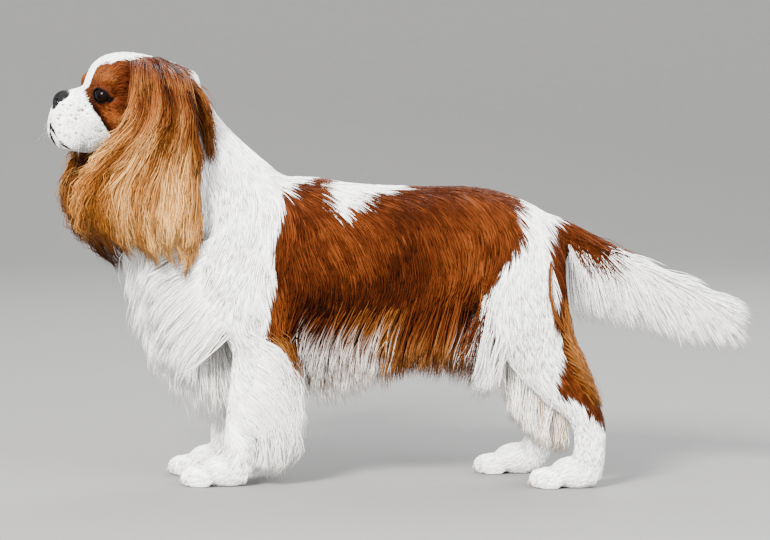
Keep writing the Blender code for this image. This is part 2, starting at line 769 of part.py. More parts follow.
def head_mesh():
    """Skull, muzzle, lips, chin and cheeks as one skin, in the model's axes."""
    across, upward = superellipse(28, 2.2)
    rings = []
    for forward, top, bottom, wide, half in catmull(SKULL, 40):
        height = np.where(upward > 0, top - wide, wide - bottom)
        rings.append(np.column_stack([np.full(28, forward), half * across, wide + height * upward]))
    pieces = [loft(rings), ellipsoid(*CHIN)]
    for side in (LEFT, RIGHT):
        for (forward, sideways, up), sizes in PADS:
            pieces.append(ellipsoid((forward, side * sideways, up), sizes))
    head = joined(pieces)
    head.transform(head_place())
    return relaxed(remeshed(joined([head, limb(NECK)]), HEAD_VOXEL), 8)


def mouth_groove(skin):
    """The thin tube that cuts the line of the mouth, laid on the skin."""
    tree = BVHTree.FromPolygons([v.co for v in skin.vertices], [p.vertices for p in skin.polygons])
    path = [Vector((f, -l, u)) for f, l, u in reversed(MOUTH)] + [Vector(row) for row in MOUTH[1:]]
    rows = []
    for point in path:
        near = tree.find_nearest(head_place() @ point)[0]
        rows.append((*near, MOUTH_WIDTH, MOUTH_WIDTH))
    return limb(rows, count=19, sides=5, across=(0.4, 0.1, 1))


def carved_head():
    """The head with its eye pockets and lids, mouth line and a seat for the nose."""
    skin = head_mesh()
    lids = [ball_at_eye(side, EYE_RADIUS + LID_THICKNESS, 14, 9) for side in (LEFT, RIGHT)]
    skin = combined(decimated(skin, HEAD_TRIANGLES), lids, "UNION")
    pockets = [ball_at_eye(side, EYE_RADIUS + GAP, 12, 8) for side in (LEFT, RIGHT)]
    cutters = [*pockets, almond(LEFT), almond(RIGHT), mouth_groove(skin)]
    for cutter in [*cutters, nose_mesh(GAP, False)]:
        skin = combined(skin, [cutter], "DIFFERENCE")
    return skin


def ball_at_eye(side, radius, segments, rings):
    ball = ellipsoid((0, 0, 0), (radius,) * 3, segments=segments, rings=rings)
    ball.transform(eye_frame(side))
    return ball


def nose_mesh(more=0.0, nostrils=True):
    """The nose leather, with its two nostrils unless it is the seat for it."""
    sizes = [size + more for size in NOSE_SIZES]
    nose = ellipsoid(NOSE_CENTRE, sizes, segments=14, rings=8)
    if nostrils:
        holes = []
        for side in (LEFT, RIGHT):
            for (forward, sideways, up), hole in (NOSTRIL, NOSTRIL_SLIT):
                holes.append(ellipsoid((forward, side * sideways, up), hole, segments=8, rings=5))
        nose = combined(nose, holes, "DIFFERENCE")
    nose.transform(head_place())
    return nose


# Outline of an ear with its coat: up, forward and sideways of the front edge, then of the back edge
EAR = [
    (0.0385, 0.012, 0.030, -0.002, 0.037),
    (0.0340, 0.022, 0.030, -0.012, 0.044),
    (0.0200, 0.031, 0.040, -0.024, 0.0600),
    (-0.0010, 0.0336, 0.0490, -0.0294, 0.0720),
    (-0.0286, 0.0416, 0.0560, -0.0327, 0.0790),
    (-0.0590, 0.0730, 0.0450, -0.0348, 0.0830),
    (-0.0960, 0.1030, 0.0270, -0.0364, 0.0830),
    (-0.1370, 0.0920, 0.0250, -0.0335, 0.0800),
    (-0.1640, 0.0600, 0.0358, -0.0287, 0.0760),
    (-0.1830, 0.0300, 0.0500, -0.0190, 0.0700),
]
# The ear leather under the coat: up, share of the outline's width in front and behind, half thickness
LEATHER = [
    (0.0385, 0.00, 1.00, 0.0015),
    (0.0335, 0.04, 0.96, 0.0024),
    (0.0200, 0.07, 0.93, 0.0028),
    (-0.0010, 0.08, 0.94, 0.0028),
    (-0.0286, 0.14, 0.92, 0.0026),
    (-0.0450, 0.28, 0.86, 0.0024),
    (-0.0560, 0.46, 0.74, 0.0018),
]
EAR_BULGE = 0.013
RIGHT_EAR_BACK = 0.016
# Tiers of ear locks: height of the roots, height of the tips, how many, how far out they lie
EAR_TIERS = [
    (-0.044, -0.180, 5, 0.0000),
    (-0.030, -0.138, 5, 0.0045),
    (-0.008, -0.100, 4, 0.0085),
    (0.016, -0.052, 3, 0.0115),
]
EAR_LOCK_WIDTH = 0.033
EAR_LOCK_THICKNESS = 0.006


def ear_point(up, share, out, side):
    """A point on the ear's outer face, in the head's axes: share runs from its front edge to its back."""
    table = np.array(EAR[::-1])
    f0, l0, f1, l1 = (np.interp(up, table[:, 0], table[:, k]) for k in range(1, 5))
    if side == RIGHT:
        f0 -= RIGHT_EAR_BACK * min(1, max(0, -up / 0.09))
    front, back = np.array([f0, l0]), np.array([f1, l1])
    width = np.linalg.norm(front - back)
    along = (back - front) / width
    outward = np.array([along[1], -along[0]])
    outward = outward if outward[1] > 0 else -outward
    bulge = EAR_BULGE * (1 - (2 * share - 1) ** 2) * min(1, width / 0.07)
    flat = front + along * width * share + outward * (bulge + out)
    return Vector((flat[0], -side * flat[1], up))


def leather_mesh(side):
    """The flap of an ear without its coat, hollow on its inner face."""
    rings = []
    turn = np.linspace(0, 2 * math.pi, 12, endpoint=False)
    for up, first, last, thick in catmull(LEATHER, 11):
        shares = (first + last) / 2 + np.cos(turn) * (last - first) / 2
        rings.append([ear_point(up, share, thick * math.sin(angle), side) for share, angle in zip(shares, turn)])
    leather = loft(rings)
    leather.transform(head_place())
    return leather


def ear_locks(side):
    """The coat of one ear in tiers, each over the one below, with its fans and its bottom edge."""
    rng = random.Random(31 + side)
    locks = []
    for tier, (root_up, tip_up, count, out) in enumerate(EAR_TIERS):
        for k in range(count):
            share = k / (count - 1)
            root_share = 0.50 + (0.62 if tier else 0.46) * (share - 0.5)
            tip_share = 0.02 + 0.96 * share + rng.uniform(-0.015, 0.015)
            edge = abs(2 * share - 1) ** 2.5
            end_up = tip_up + rng.uniform(-0.004, 0.004) + 0.020 * edge * (tier == 0)
            points = []
            for t in (0.0, 0.30, 0.66, 1.0):
                sink = -0.0025 - out if t == 0 else 0.0
                points.append(
                    ear_point(
                        root_up + (end_up - root_up) * t,
                        root_share + (tip_share - root_share) * t**0.8,
                        out + sink + 0.002 * math.sin(math.pi * t) - 0.004 * t**3,
                        side,
                    )
                )
            place = head_place()
            middle = ear_point((root_up + end_up) / 2, share, 0.02, side)
            inner = ear_point((root_up + end_up) / 2, share, 0.0, side)
            face = place.to_3x3() @ (middle - inner)
            width = EAR_LOCK_WIDTH * rng.uniform(0.9, 1.1)
            locks.append(lock([place @ point for point in points], face, width, EAR_LOCK_THICKNESS))
    return locks


def eye_frame(side):
    """Where an eye sits and looks: its own Z is its gaze."""
    out = math.radians(33)
    gaze = Vector((math.cos(out), -side * math.sin(out), 0.04)).normalized()
    level = Vector((0, 0, 1)).cross(gaze).normalized()
    upright = gaze.cross(level)
    turn = Matrix((level, upright, gaze)).transposed().to_4x4()
    centre = Vector((EYE_CENTRE.x, -side * EYE_CENTRE.y, EYE_CENTRE.z))
    return head_place() @ Matrix.Translation(centre) @ turn


def almond(side, half_width=0.0105, half_height=0.0074):
    """The cutter that opens the lids: an almond outline drawn out along the gaze."""
    outline = []
    for step in range(20):
        turn = 2 * math.pi * step / 20
        narrow = 1 - 0.35 * abs(math.cos(turn)) ** 3
        outline.append((half_width * math.cos(turn), half_height * math.sin(turn) * narrow))
    rings = [[(x, y, z) for x, y in outline] for z in (0.002, 0.02)]
    cutter = loft(rings)
    cutter.transform(eye_frame(side))
    return cutter


def flesh():
    """Every node without its long coat, by name."""
    body = body_mesh()
    front, rear = parted(body, CHEST_BACK)
    neck_and_stub, chest = parted(front, NECK_BASE)
    chest, forelegs = cut_limbs(chest, FORELEG_TOP, CHEST_FRONT)
    rear, tail = cut_limbs(rear, TAIL_LEVEL, TAIL_ROOT)
    torso, hind = cut_limbs(rear, THIGH_TOP, THIGH_FRONT)
    nodes = {
        "head": largest(before(carved_head(), NECK_TOP)),
        "neck": largest(beyond(neck_and_stub, NECK_TOP)),
        "chest": largest(chest),
        "torso": largest(torso),
        "tail": largest(tail),
        "nose": nose_mesh(),
    }
    for name, fore, rear in zip(("right", "left"), parted(forelegs, MIDDLE), parted(hind, MIDDLE)):
        upper, lower = parted(fore, WRIST)
        nodes["foreleg_" + name], nodes["forepaw_" + name] = largest(upper), largest(lower)
        upper, lower = parted(rear, HOCKS[name])
        nodes["thigh_" + name], nodes["hindpaw_" + name] = largest(upper), largest(lower)
    for side, name in ((LEFT, "left"), (RIGHT, "right")):
        nodes["eye_" + name] = ball_at_eye(side, EYE_RADIUS, 12, 8)
        ear = leather_mesh(side)
        for other in ("head", "neck"):
            ear = combined(ear, [grown(nodes[other], CLEARANCE)], "DIFFERENCE")
        nodes["ear_" + name] = largest(ear)
    return nodes


def sound(bm, tree):
    """Whether a mesh is closed, and no two of its faces cross."""
    if any(len(edge.link_faces) != 2 for edge in bm.edges):
        return False
    bm.faces.ensure_lookup_table()
    corners = [frozenset(vertex.index for vertex in face.verts) for face in bm.faces]
    return all(a == b or corners[a] & corners[b] for a, b in tree.overlap(tree))


def tidied(mesh, others):
    """The mesh with its shortest edges collapsed, as far as that keeps it sound and clear of the others."""
    near = [tree_of(other) for other in others if near_box(mesh, other)]
    for shortest in SHORT_EDGES:
        bm = bmesh.new()
        bm.from_mesh(mesh)
        bmesh.ops.dissolve_degenerate(bm, edges=bm.edges, dist=shortest)
        bmesh.ops.triangulate(bm, faces=[face for face in bm.faces if len(face.verts) > 3])
        bm.verts.index_update()
        tree = BVHTree.FromBMesh(bm)
        good = sound(bm, tree) and not any(tree.overlap(other) for other in near)
        made = bpy.data.meshes.new("tidied")
        bm.to_mesh(made)
        bm.free()
        if good:
            return made
    return mesh


def near_box(mesh, other, reach=0.002):
    """Whether the boxes round two meshes come within reach of each other."""
    ranges = []
    for item in (mesh, other):
        points = np.array([vertex.co for vertex in item.vertices])
        ranges.append((points.min(0), points.max(0)))
    (low, high), (other_low, other_high) = ranges
    return bool(np.all(low - reach < other_high) and np.all(other_low - reach < high))


def dressed(core, coat, others):
    """The node with its coat fused on, kept clear of the other nodes."""
    if not coat:
        return tidied(core, others)
    obstacles = [(other, grown(other, CLEARANCE)) for other in others if near_box(joined(coat), other)]
    kept = [piece for piece in (cleared(piece, obstacles) for piece in coat) if piece]
    return tidied(largest(combined(core, kept, "UNION")), others)


def cleared(piece, obstacles):
    """A lock cut clear of the other nodes, or None where no cut leaves it clear."""
    for other, wider in obstacles:
        if not touches(piece, wider):
            continue
        cuts = (largest(boolean_of(piece, [wider], "DIFFERENCE", solver)) for solver in ("EXACT", "MANIFOLD"))
        piece = next((cut for cut in cuts if cut.polygons and closed(cut) and not touches(cut, other)), None)
        if piece is None:
            return None
    return piece


def touches(mesh, other):
    """Whether two closed meshes cross, or the first lies partly inside the second."""
    tree, other_tree = tree_of(mesh), tree_of(other)
    if tree.overlap(other_tree):
        return True
    place, normal, _, _ = other_tree.find_nearest(mesh.vertices[-1].co)
    return (mesh.vertices[-1].co - place).dot(normal) < 0


def finished(name, mesh, material):
    """The node of that name, smooth but for its sharp edges."""
    mesh.name = name
    mesh.materials.clear()
    mesh.materials.append(material)
    obj = add_object(name, mesh)
    mesh.shade_smooth()
    mesh.set_sharp_from_angle(angle=math.radians(40))
    return obj


def make_materials():
    made = {}
    for name, (colour, roughness) in COLOURS.items():
        material = bpy.data.materials.new(name)
        material.use_nodes = True
        shader = material.node_tree.nodes["Principled BSDF"]
        shader.inputs["Base Color"].default_value = colour
        shader.inputs["Roughness"].default_value = roughness
        made[name] = material
    return made


def main():
    for obj in list(bpy.data.objects):
        bpy.data.objects.remove(obj, do_unlink=True)
    materials = make_materials()
    nodes = flesh()
    coat = long_coat(nodes)
    for name, core in list(nodes.items()):
        others = [other for key, other in nodes.items() if key != name]
        nodes[name] = dressed(core, coat.get(name, []), others)
        finished(name, nodes[name], materials[MATERIAL_OF.get(name.split("_")[0], "white_coat")])


main()
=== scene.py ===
"""The looks of a cavalier king charles spaniel: skin, coat, eyes, nose, claws, light and camera.

Metres, +Z up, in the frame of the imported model: the nose points to -X and the dog's left side is at -Y.
"""

import math

import bmesh
import bpy
import numpy as np
from mathutils import Matrix, Vector
from mathutils.bvhtree import BVHTree
from mathutils.kdtree import KDTree


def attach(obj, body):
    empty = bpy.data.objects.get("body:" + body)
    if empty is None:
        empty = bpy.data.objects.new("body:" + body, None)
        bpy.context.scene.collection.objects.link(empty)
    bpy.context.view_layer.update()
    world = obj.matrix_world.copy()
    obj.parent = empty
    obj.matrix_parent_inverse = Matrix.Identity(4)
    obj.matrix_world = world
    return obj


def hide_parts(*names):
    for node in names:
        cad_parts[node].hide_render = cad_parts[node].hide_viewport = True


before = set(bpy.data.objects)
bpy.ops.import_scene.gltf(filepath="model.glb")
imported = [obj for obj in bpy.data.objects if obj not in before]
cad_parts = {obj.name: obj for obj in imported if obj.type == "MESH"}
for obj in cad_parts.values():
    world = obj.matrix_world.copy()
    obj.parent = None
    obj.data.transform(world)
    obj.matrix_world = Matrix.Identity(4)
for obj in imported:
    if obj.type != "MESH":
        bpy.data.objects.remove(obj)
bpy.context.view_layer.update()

LEFT, RIGHT = -1, 1
SIDE_NAME = {LEFT: "left", RIGHT: "right"}
STANCE_FRONT = 0.043
SOLE = 0.0004
BODY_VOXEL = 0.0026
HEAD_VOXEL = 0.0013
PAW_VOXEL = 0.0012
MOST_TRIANGLES = 190_000

# Torso rings: x, top, bottom, height of the widest place, half width
TORSO = [
    (-0.232, 0.244, 0.206, 0.226, 0.020),
    (-0.220, 0.266, 0.182, 0.224, 0.040),
    (-0.200, 0.288, 0.163, 0.222, 0.054),
    (-0.165, 0.305, 0.148, 0.220, 0.065),
    (-0.130, 0.319, 0.142, 0.218, 0.070),
    (-0.090, 0.3205, 0.141, 0.218, 0.072),
    (-0.050, 0.3140, 0.144, 0.220, 0.073),
    (-0.010, 0.3115, 0.149, 0.223, 0.072),
    (0.030, 0.3110, 0.155, 0.228, 0.067),
    (0.070, 0.3110, 0.165, 0.236, 0.060),
    (0.100, 0.3065, 0.176, 0.240, 0.057),
    (0.127, 0.2975, 0.188, 0.240, 0.055),
    (0.150, 0.2850, 0.200, 0.240, 0.047),
    (0.168, 0.2690, 0.215, 0.240, 0.033),
    (0.176, 0.2530, 0.232, 0.242, 0.014),
]

# Paths of the round parts: x, y, z, fore-and-aft radius, sideways radius
NECK = [
    (-0.125, 0.0, 0.235, 0.060, 0.052),
    (-0.160, 0.0, 0.268, 0.066, 0.056),
    (-0.198, 0.0, 0.315, 0.056, 0.050),
    (-0.222, 0.0, 0.353, 0.047, 0.046),
    (-0.236, -0.001, 0.386, 0.041, 0.043),
    (-0.244, -0.002, 0.404, 0.036, 0.040),
]
SHOULDER = [
    (-0.125, 0.034, 0.292, 0.022, 0.012),
    (-0.150, 0.047, 0.262, 0.034, 0.020),
    (-0.176, 0.053, 0.222, 0.037, 0.023),
    (-0.160, 0.054, 0.188, 0.038, 0.023),
    (-0.143, 0.050, 0.158, 0.031, 0.021),
    (-0.143, 0.046, 0.138, 0.026, 0.019),
]
FORELEG = [
    (-0.146, 0.048, 0.165, 0.028, 0.020),
    (-0.150, 0.046, 0.135, 0.0255, 0.0185),
    (-0.157, 0.044, 0.105, 0.0215, 0.0170),
    (-0.162, 0.043, 0.075, 0.0185, 0.0160),
    (-0.1635, 0.043, 0.050, 0.0180, 0.0165),
    (-0.1640, 0.043, 0.032, 0.0175, 0.0165),
    (-0.1700, 0.043, 0.014, 0.0190, 0.0170),
]
THIGH = [
    (0.112, 0.018, 0.268, 0.036, 0.020),
    (0.122, 0.037, 0.232, 0.050, 0.028),
    (0.128, 0.050, 0.200, 0.047, 0.032),
    (0.134, 0.055, 0.168, 0.042, 0.029),
    (0.147, 0.056, 0.134, 0.034, 0.024),
    (0.167, 0.055, 0.105, 0.0255, 0.0190),
    (0.186, 0.055, 0.083, 0.0200, 0.0155),
    (0.1945, 0.055, 0.066, 0.0180, 0.0145),
    (0.1960, 0.055, 0.046, 0.0165, 0.0145),
    (0.1945, 0.055, 0.028, 0.0170, 0.0150),
    (0.1900, 0.055, 0.012, 0.0185, 0.0165),
]
TAIL = [
    (0.140, 0.0, 0.262, 0.024, 0.020),
    (0.165, 0.0, 0.258, 0.0195, 0.017),
    (0.200, 0.0, 0.2445, 0.0155, 0.0135),
    (0.240, 0.0, 0.2265, 0.0125, 0.011),
    (0.280, 0.0, 0.2080, 0.0105, 0.009),
    (0.315, 0.0, 0.1915, 0.0080, 0.007),
    (0.335, 0.0, 0.1800, 0.0040, 0.004),
]

# How far the right legs stand forward, row by row of THIGH and FORELEG
RIGHT_HIND_STEP = [0, 0, -0.004, -0.008, -0.014, -0.019, -0.024, -0.027, -0.038, -0.048, -0.054]
RIGHT_FORE_STEP = [0, -0.003, -0.0095, -0.016, -0.019, -0.019, -0.019]

PAW_LENGTH = 0.064
TOE_RADIUS = 0.0088
TOE_SPREAD = (-0.0145, -0.0052, 0.0052, 0.0145)
TOE_REACH = (0.0, 0.006, 0.006, 0.0)

# Head rings: forward, top, bottom, height of the widest place, half width
SKULL = [
    (-0.0575, 0.018, -0.010, 0.005, 0.012),
    (-0.0500, 0.0265, -0.024, 0.005, 0.031),
    (-0.0350, 0.0335, -0.036, 0.004, 0.0425),
    (-0.0150, 0.0395, -0.043, 0.003, 0.0470),
    (0.0060, 0.0435, -0.048, 0.002, 0.0470),
    (0.0280, 0.0440, -0.052, 0.001, 0.0440),
    (0.0440, 0.0405, -0.056, 0.000, 0.0395),
    (0.0550, 0.0330, -0.0585, -0.006, 0.0355),
    (0.0615, 0.0230, -0.0600, -0.012, 0.0330),
    (0.0665, 0.0105, -0.0605, -0.018, 0.0310),
    (0.0750, 0.0070, -0.0595, -0.022, 0.0290),
    (0.0860, 0.0040, -0.0570, -0.024, 0.0275),
    (0.0950, -0.0020, -0.0520, -0.025, 0.0240),
    (0.1000, -0.0110, -0.0450, -0.027, 0.0180),
    (0.1040, -0.0200, -0.0370, -0.028, 0.0090),
]
# Pads of flesh on each side of the head: centre (forward, sideways, up) and half sizes
PADS = [
    ((0.026, 0.029, -0.020), (0.036, 0.0200, 0.033)),
    ((0.057, 0.0215, -0.021), (0.024, 0.0165, 0.019)),
    ((0.048, 0.0230, 0.0125), (0.016, 0.0160, 0.0135)),
    ((0.083, 0.0135, -0.033), (0.0205, 0.0150, 0.0245)),
    ((0.000, 0.0360, 0.010), (0.030, 0.0160, 0.022)),
]
CHIN = ((0.0805, 0, -0.0460), (0.0150, 0.0150, 0.0125))
# The line of the mouth on one side: forward, sideways, up
MOUTH = [
    (0.1050, 0.000, -0.0300),
    (0.1040, 0.006, -0.0370),
    (0.1005, 0.0115, -0.0455),
    (0.0945, 0.0155, -0.0530),
    (0.0870, 0.0185, -0.0580),
    (0.0780, 0.0210, -0.0605),
    (0.0690, 0.0230, -0.0610),
]
MOUTH_WIDTH = 0.0011
HEAD_PIVOT = Vector((-0.262, -0.004, 0.404))
HEAD_YAW = math.radians(22)
EYE_RADIUS = 0.0105
EYE_CENTRE = Vector((0.0545, 0.0295, -0.001))
LID_THICKNESS = 0.0017
EYE_OPENING = (0.0110, 0.0068)
EYE_TILT = math.radians(19)
NOSE_CENTRE = (0.0880, 0, -0.0076)
NOSE_SIZES = (0.0126, 0.0165, 0.0121)
NOSE_BASE = ((0.0925, 0, -0.0140), (0.0090, 0.0118, 0.0082))
NOSTRIL = ((0.0995, 0.0062, -0.0062), (0.0042, 0.0026, 0.0027))
NOSTRIL_SLIT = ((0.0945, 0.0108, -0.0082), (0.0050, 0.0030, 0.0014))

# Outline of an ear with its coat: up, forward and sideways of the front edge, then of the back edge
EAR = np.array([
    (0.0385, 0.012, 0.030, -0.002, 0.037),
    (0.0340, 0.022, 0.030, -0.012, 0.044),
    (0.0200, 0.031, 0.040, -0.024, 0.0600),
    (-0.0010, 0.0336, 0.0490, -0.0294, 0.0720),
    (-0.0286, 0.0416, 0.0560, -0.0327, 0.0790),
    (-0.0590, 0.0730, 0.0450, -0.0348, 0.0830),
    (-0.0960, 0.1030, 0.0270, -0.0364, 0.0830),
    (-0.1370, 0.0920, 0.0250, -0.0335, 0.0800),
    (-0.1640, 0.0600, 0.0358, -0.0287, 0.0760),
    (-0.1830, 0.0300, 0.0500, -0.0190, 0.0700),
])[::-1]
# The ear leather under the coat: up, share of the outline's width in front and behind, half thickness
LEATHER = [
    (0.0385, 0.00, 1.00, 0.0010),
    (0.0335, 0.04, 0.96, 0.0018),
    (0.0200, 0.07, 0.93, 0.0020),
    (-0.0010, 0.08, 0.94, 0.0020),
    (-0.0286, 0.14, 0.92, 0.0018),
    (-0.0450, 0.28, 0.86, 0.0016),
    (-0.0560, 0.46, 0.74, 0.0012),
]
EAR_BULGE = 0.013
RIGHT_EAR_BACK = 0.016


def catmull(rows, count):
    """The rows, read at count even places along a smooth curve through them."""
    rows = np.asarray(rows, float)
    padded = np.vstack([2 * rows[0] - rows[1], rows, 2 * rows[-1] - rows[-2]])
    places = np.linspace(0, len(rows) - 1, count)
    index = np.minimum(places.astype(int), len(rows) - 2)
    t = (places - index)[:, None]
    a, b, c, d = (padded[index + k] for k in range(4))
    return 0.5 * (2 * b + (c - a) * t + (2 * a - 5 * b + 4 * c - d) * t**2 + (3 * b - a - 3 * c + d) * t**3)


def unit(vectors):
    return vectors / np.maximum(np.linalg.norm(vectors, axis=-1, keepdims=True), 1e-9)


def smooth(low, high, values):
    """0 below low, 1 above high and an even rise between."""
    share = np.clip((values - low) / (high - low), 0, 1)
    return share * share * (3 - 2 * share)


def read_at(values, line):
    """The second numbers of a line's pairs, read at values of the first."""
    return np.interp(values, *np.array(line).T)


def fields_at(first, second, fields):
    """The sum of round soft fields, each with its place, size and amount, at points of a plane."""
    total = 0.0
    for a, b, size, amount in fields:
        total = total + amount * np.exp(-((first - a) ** 2 + (second - b) ** 2) / (2 * size**2))
    return total


def ripple(points, size, seed):
    """Smooth random values from about -1 to 1, with features about size across."""
    rng = np.random.default_rng(seed)
    total = np.zeros(len(points))
    for _ in range(9):
        wave = rng.normal(size=3)
        wave *= rng.uniform(0.7, 1.5) * 2.6 / (size * np.linalg.norm(wave))
        total += np.sin(points @ wave + rng.uniform(0, 2 * math.pi))
    return total / 3.2


def mesh_from(points, faces):
    """A mesh whose faces point outwards."""
    mesh = bpy.data.meshes.new("shape")
    mesh.from_pydata([tuple(p) for p in points], [], faces)
    bm = bmesh.new()
    bm.from_mesh(mesh)
    bmesh.ops.recalc_face_normals(bm, faces=bm.faces)
    bm.to_mesh(mesh)
    bm.free()
    return mesh


def add_object(name, mesh):
    obj = bpy.data.objects.new(name, mesh)
    bpy.context.scene.collection.objects.link(obj)
    return obj


def evaluated(obj):
    graph = bpy.context.evaluated_depsgraph_get()
    mesh = bpy.data.meshes.new_from_object(obj.evaluated_get(graph))
    bpy.data.objects.remove(obj, do_unlink=True)
    return mesh


def loft(rings, ends=None):
    """A closed mesh through rings of equal size, with a middle point in each end."""
    rings = np.asarray(rings, float)
    count, sides, _ = rings.shape
    first, last = (rings[0].mean(0), rings[-1].mean(0)) if ends is None else ends
    points = np.vstack([rings.reshape(-1, 3), first, last])
    first, last = count * sides, count * sides + 1
    faces = []
    for side in range(sides):
        after = (side + 1) % sides
        for ring in range(count - 1):
            low, high = ring * sides, (ring + 1) * sides
            faces.append((low + side, low + after, high + after, high + side))
        faces.append((first, after, side))
        end = (count - 1) * sides
        faces.append((last, end + side, end + after))
    return mesh_from(points, faces)


def superellipse(sides, power):
    turn = np.linspace(0, 2 * math.pi, sides, endpoint=False)
    cosine, sine = np.cos(turn), np.sin(turn)
    return np.sign(cosine) * abs(cosine) ** (2 / power), np.sign(sine) * abs(sine) ** (2 / power)


def barrel(rows, count, sides, power):
    """Rings across the first axis, for the torso and the skull."""
    across, upward = superellipse(sides, power)
    rings = []
    for along, top, bottom, wide, half in catmull(rows, count):
        height = np.where(upward > 0, top - wide, wide - bottom)
        rings.append(np.column_stack([np.full(sides, along), half * across, wide + height * upward]))
    return loft(rings)


def limb(rows, count=30, sides=24, across=(0, 1, 0)):
    """A round part along a path, wider fore and aft or sideways as its rows say."""
    rows = catmull(rows, count)
    centres = rows[:, :3]
    tangents = unit(np.gradient(centres, axis=0))
    cosine, sine = superellipse(sides, 2)
    across = np.array(across, float)
    sideways = unit(across - tangents * (tangents @ across)[:, None])
    forward = np.cross(tangents, sideways)
    wide, deep = rows[:, 4], rows[:, 3]
    rings = (
        centres[:, None]
        + sideways[:, None] * (wide[:, None] * cosine)[..., None]
        + forward[:, None] * (deep[:, None] * sine)[..., None]
    )
    return loft(rings)


def ellipsoid(centre, sizes, segments=32, rings=20):
    """A ball of rings between two poles on its third axis, whose points always come in the same order."""
    turn = np.linspace(0, 2 * math.pi, segments, endpoint=False)
    bands = []
    for fall in np.linspace(0, math.pi, rings + 1)[1:-1]:
        wide, high = math.sin(fall), np.full(segments, math.cos(fall))
        bands.append(np.column_stack([wide * np.cos(turn), wide * np.sin(turn), high]))
    poles = np.array([(0.0, 0.0, 1.0), (0.0, 0.0, -1.0)])
    return loft(np.array(bands) * sizes + centre, poles * sizes + centre)


def joined(meshes):
    bm = bmesh.new()
    for mesh in meshes:
        bm.from_mesh(mesh)
    mesh = bpy.data.meshes.new("joined")
    bm.to_mesh(mesh)
    bm.free()
    return mesh


def remeshed(mesh, voxel):
    """The union of a mesh's closed bodies, as one even skin."""
    obj = add_object("remesh", mesh)
    remesh = obj.modifiers.new("skin", "REMESH")
    remesh.mode = "VOXEL"
    remesh.voxel_size = voxel
    return evaluated(obj)


def points_of(mesh):
    points = np.empty(len(mesh.vertices) * 3, np.float32)
    mesh.vertices.foreach_get("co", points)
    return points.reshape(-1, 3).astype(float)


def normals_of(mesh):
    normals = np.empty(len(mesh.vertices) * 3, np.float32)
    mesh.vertex_normals.foreach_get("vector", normals)
    return normals.reshape(-1, 3).astype(float)


def moved(mesh, points):
    mesh.vertices.foreach_set("co", points.astype(np.float32).ravel())
    mesh.update()
    return mesh


def relaxed(mesh, rounds, pull=0.6, push=-0.62, share=None):
    """Smooths a mesh without shrinking it much, everywhere or by a share for each point."""
    points = points_of(mesh)
    edges = np.empty(len(mesh.edges) * 2, np.int32)
    mesh.edges.foreach_get("vertices", edges)
    ends = np.concatenate([edges.reshape(-1, 2), edges.reshape(-1, 2)[:, ::-1]])
    degree = np.maximum(np.bincount(ends[:, 0], minlength=len(points)), 1)[:, None]
    weight = 1.0 if share is None else share[:, None]
    for step in [pull, push] * rounds:
        total = np.column_stack(
            [np.bincount(ends[:, 0], points[ends[:, 1], k], len(points)) for k in range(3)]
        )
        points = points + weight * step * (total / degree - points)
    return moved(mesh, points)


def combined(mesh, others, operation):
    """A Boolean of a closed mesh with closed meshes."""
    obj = add_object("base", mesh)
    group = bpy.data.collections.new("operands")
    bpy.context.scene.collection.children.link(group)
    extra = [bpy.data.objects.new("operand", other) for other in others]
    for item in extra:
        group.objects.link(item)
    boolean = obj.modifiers.new("boolean", "BOOLEAN")
    boolean.operation = operation
    boolean.solver = "MANIFOLD"
    boolean.operand_type = "COLLECTION"
    boolean.collection = group
    made = evaluated(obj)
    for item in extra:
        bpy.data.objects.remove(item, do_unlink=True)
    bpy.data.collections.remove(group)
    return made


# Head frame
def head_place():
    """From the head's own axes (forward, to its left, up) to the model's."""
    turn = Matrix.Rotation(HEAD_YAW, 4, "Z")
    axes = Matrix(((-1, 0, 0, 0), (0, -1, 0, 0), (0, 0, 1, 0), (0, 0, 0, 1)))
    return Matrix.Translation(HEAD_PIVOT) @ turn @ axes


HEAD_PLACE = np.array(head_place())


def to_model(points):
    """Points from the head's axes to the model's."""
    return np.asarray(points) @ HEAD_PLACE[:3, :3].T + HEAD_PLACE[:3, 3]


def to_head(points):
    """Points from the model's axes to the head's."""
    return (points - HEAD_PLACE[:3, 3]) @ HEAD_PLACE[:3, :3]


def eye_frame(side):
    """Where an eye sits and looks: its own Z is its gaze."""
    out = math.radians(33)
    gaze = Vector((math.cos(out), -side * math.sin(out), 0.04)).normalized()
    level = Vector((0, 0, 1)).cross(gaze).normalized()
    upright = gaze.cross(level)
    turn = Matrix((level, upright, gaze)).transposed().to_4x4()
    centre = Vector((EYE_CENTRE.x, -side * EYE_CENTRE.y, EYE_CENTRE.z))
    return head_place() @ Matrix.Translation(centre) @ turn


def in_eye(points, side):
    """Points in the axes of an eye."""
    place = np.array(eye_frame(side))
    return (points - place[:3, 3]) @ place[:3, :3]


def lid_height(turn):
    """How high the lids' opening is at an angle, as a share of an ellipse's height."""
    return 1 - 0.35 * abs(np.cos(turn)) ** 3


def almond_share(points, side):
    """How far out from the middle of the lids' opening points lie: 1 on its edge."""
    local = in_eye(points, side)
    wide, high = EYE_OPENING
    slope = side * EYE_TILT
    across = local[:, 0] * math.cos(slope) + local[:, 1] * math.sin(slope)
    above = local[:, 1] * math.cos(slope) - local[:, 0] * math.sin(slope)
    turn = np.arctan2(above / high, across / wide)
    share = np.hypot(across / wide, above / (high * lid_height(turn)))
    return np.where(local[:, 2] > 0, share, 9.0)


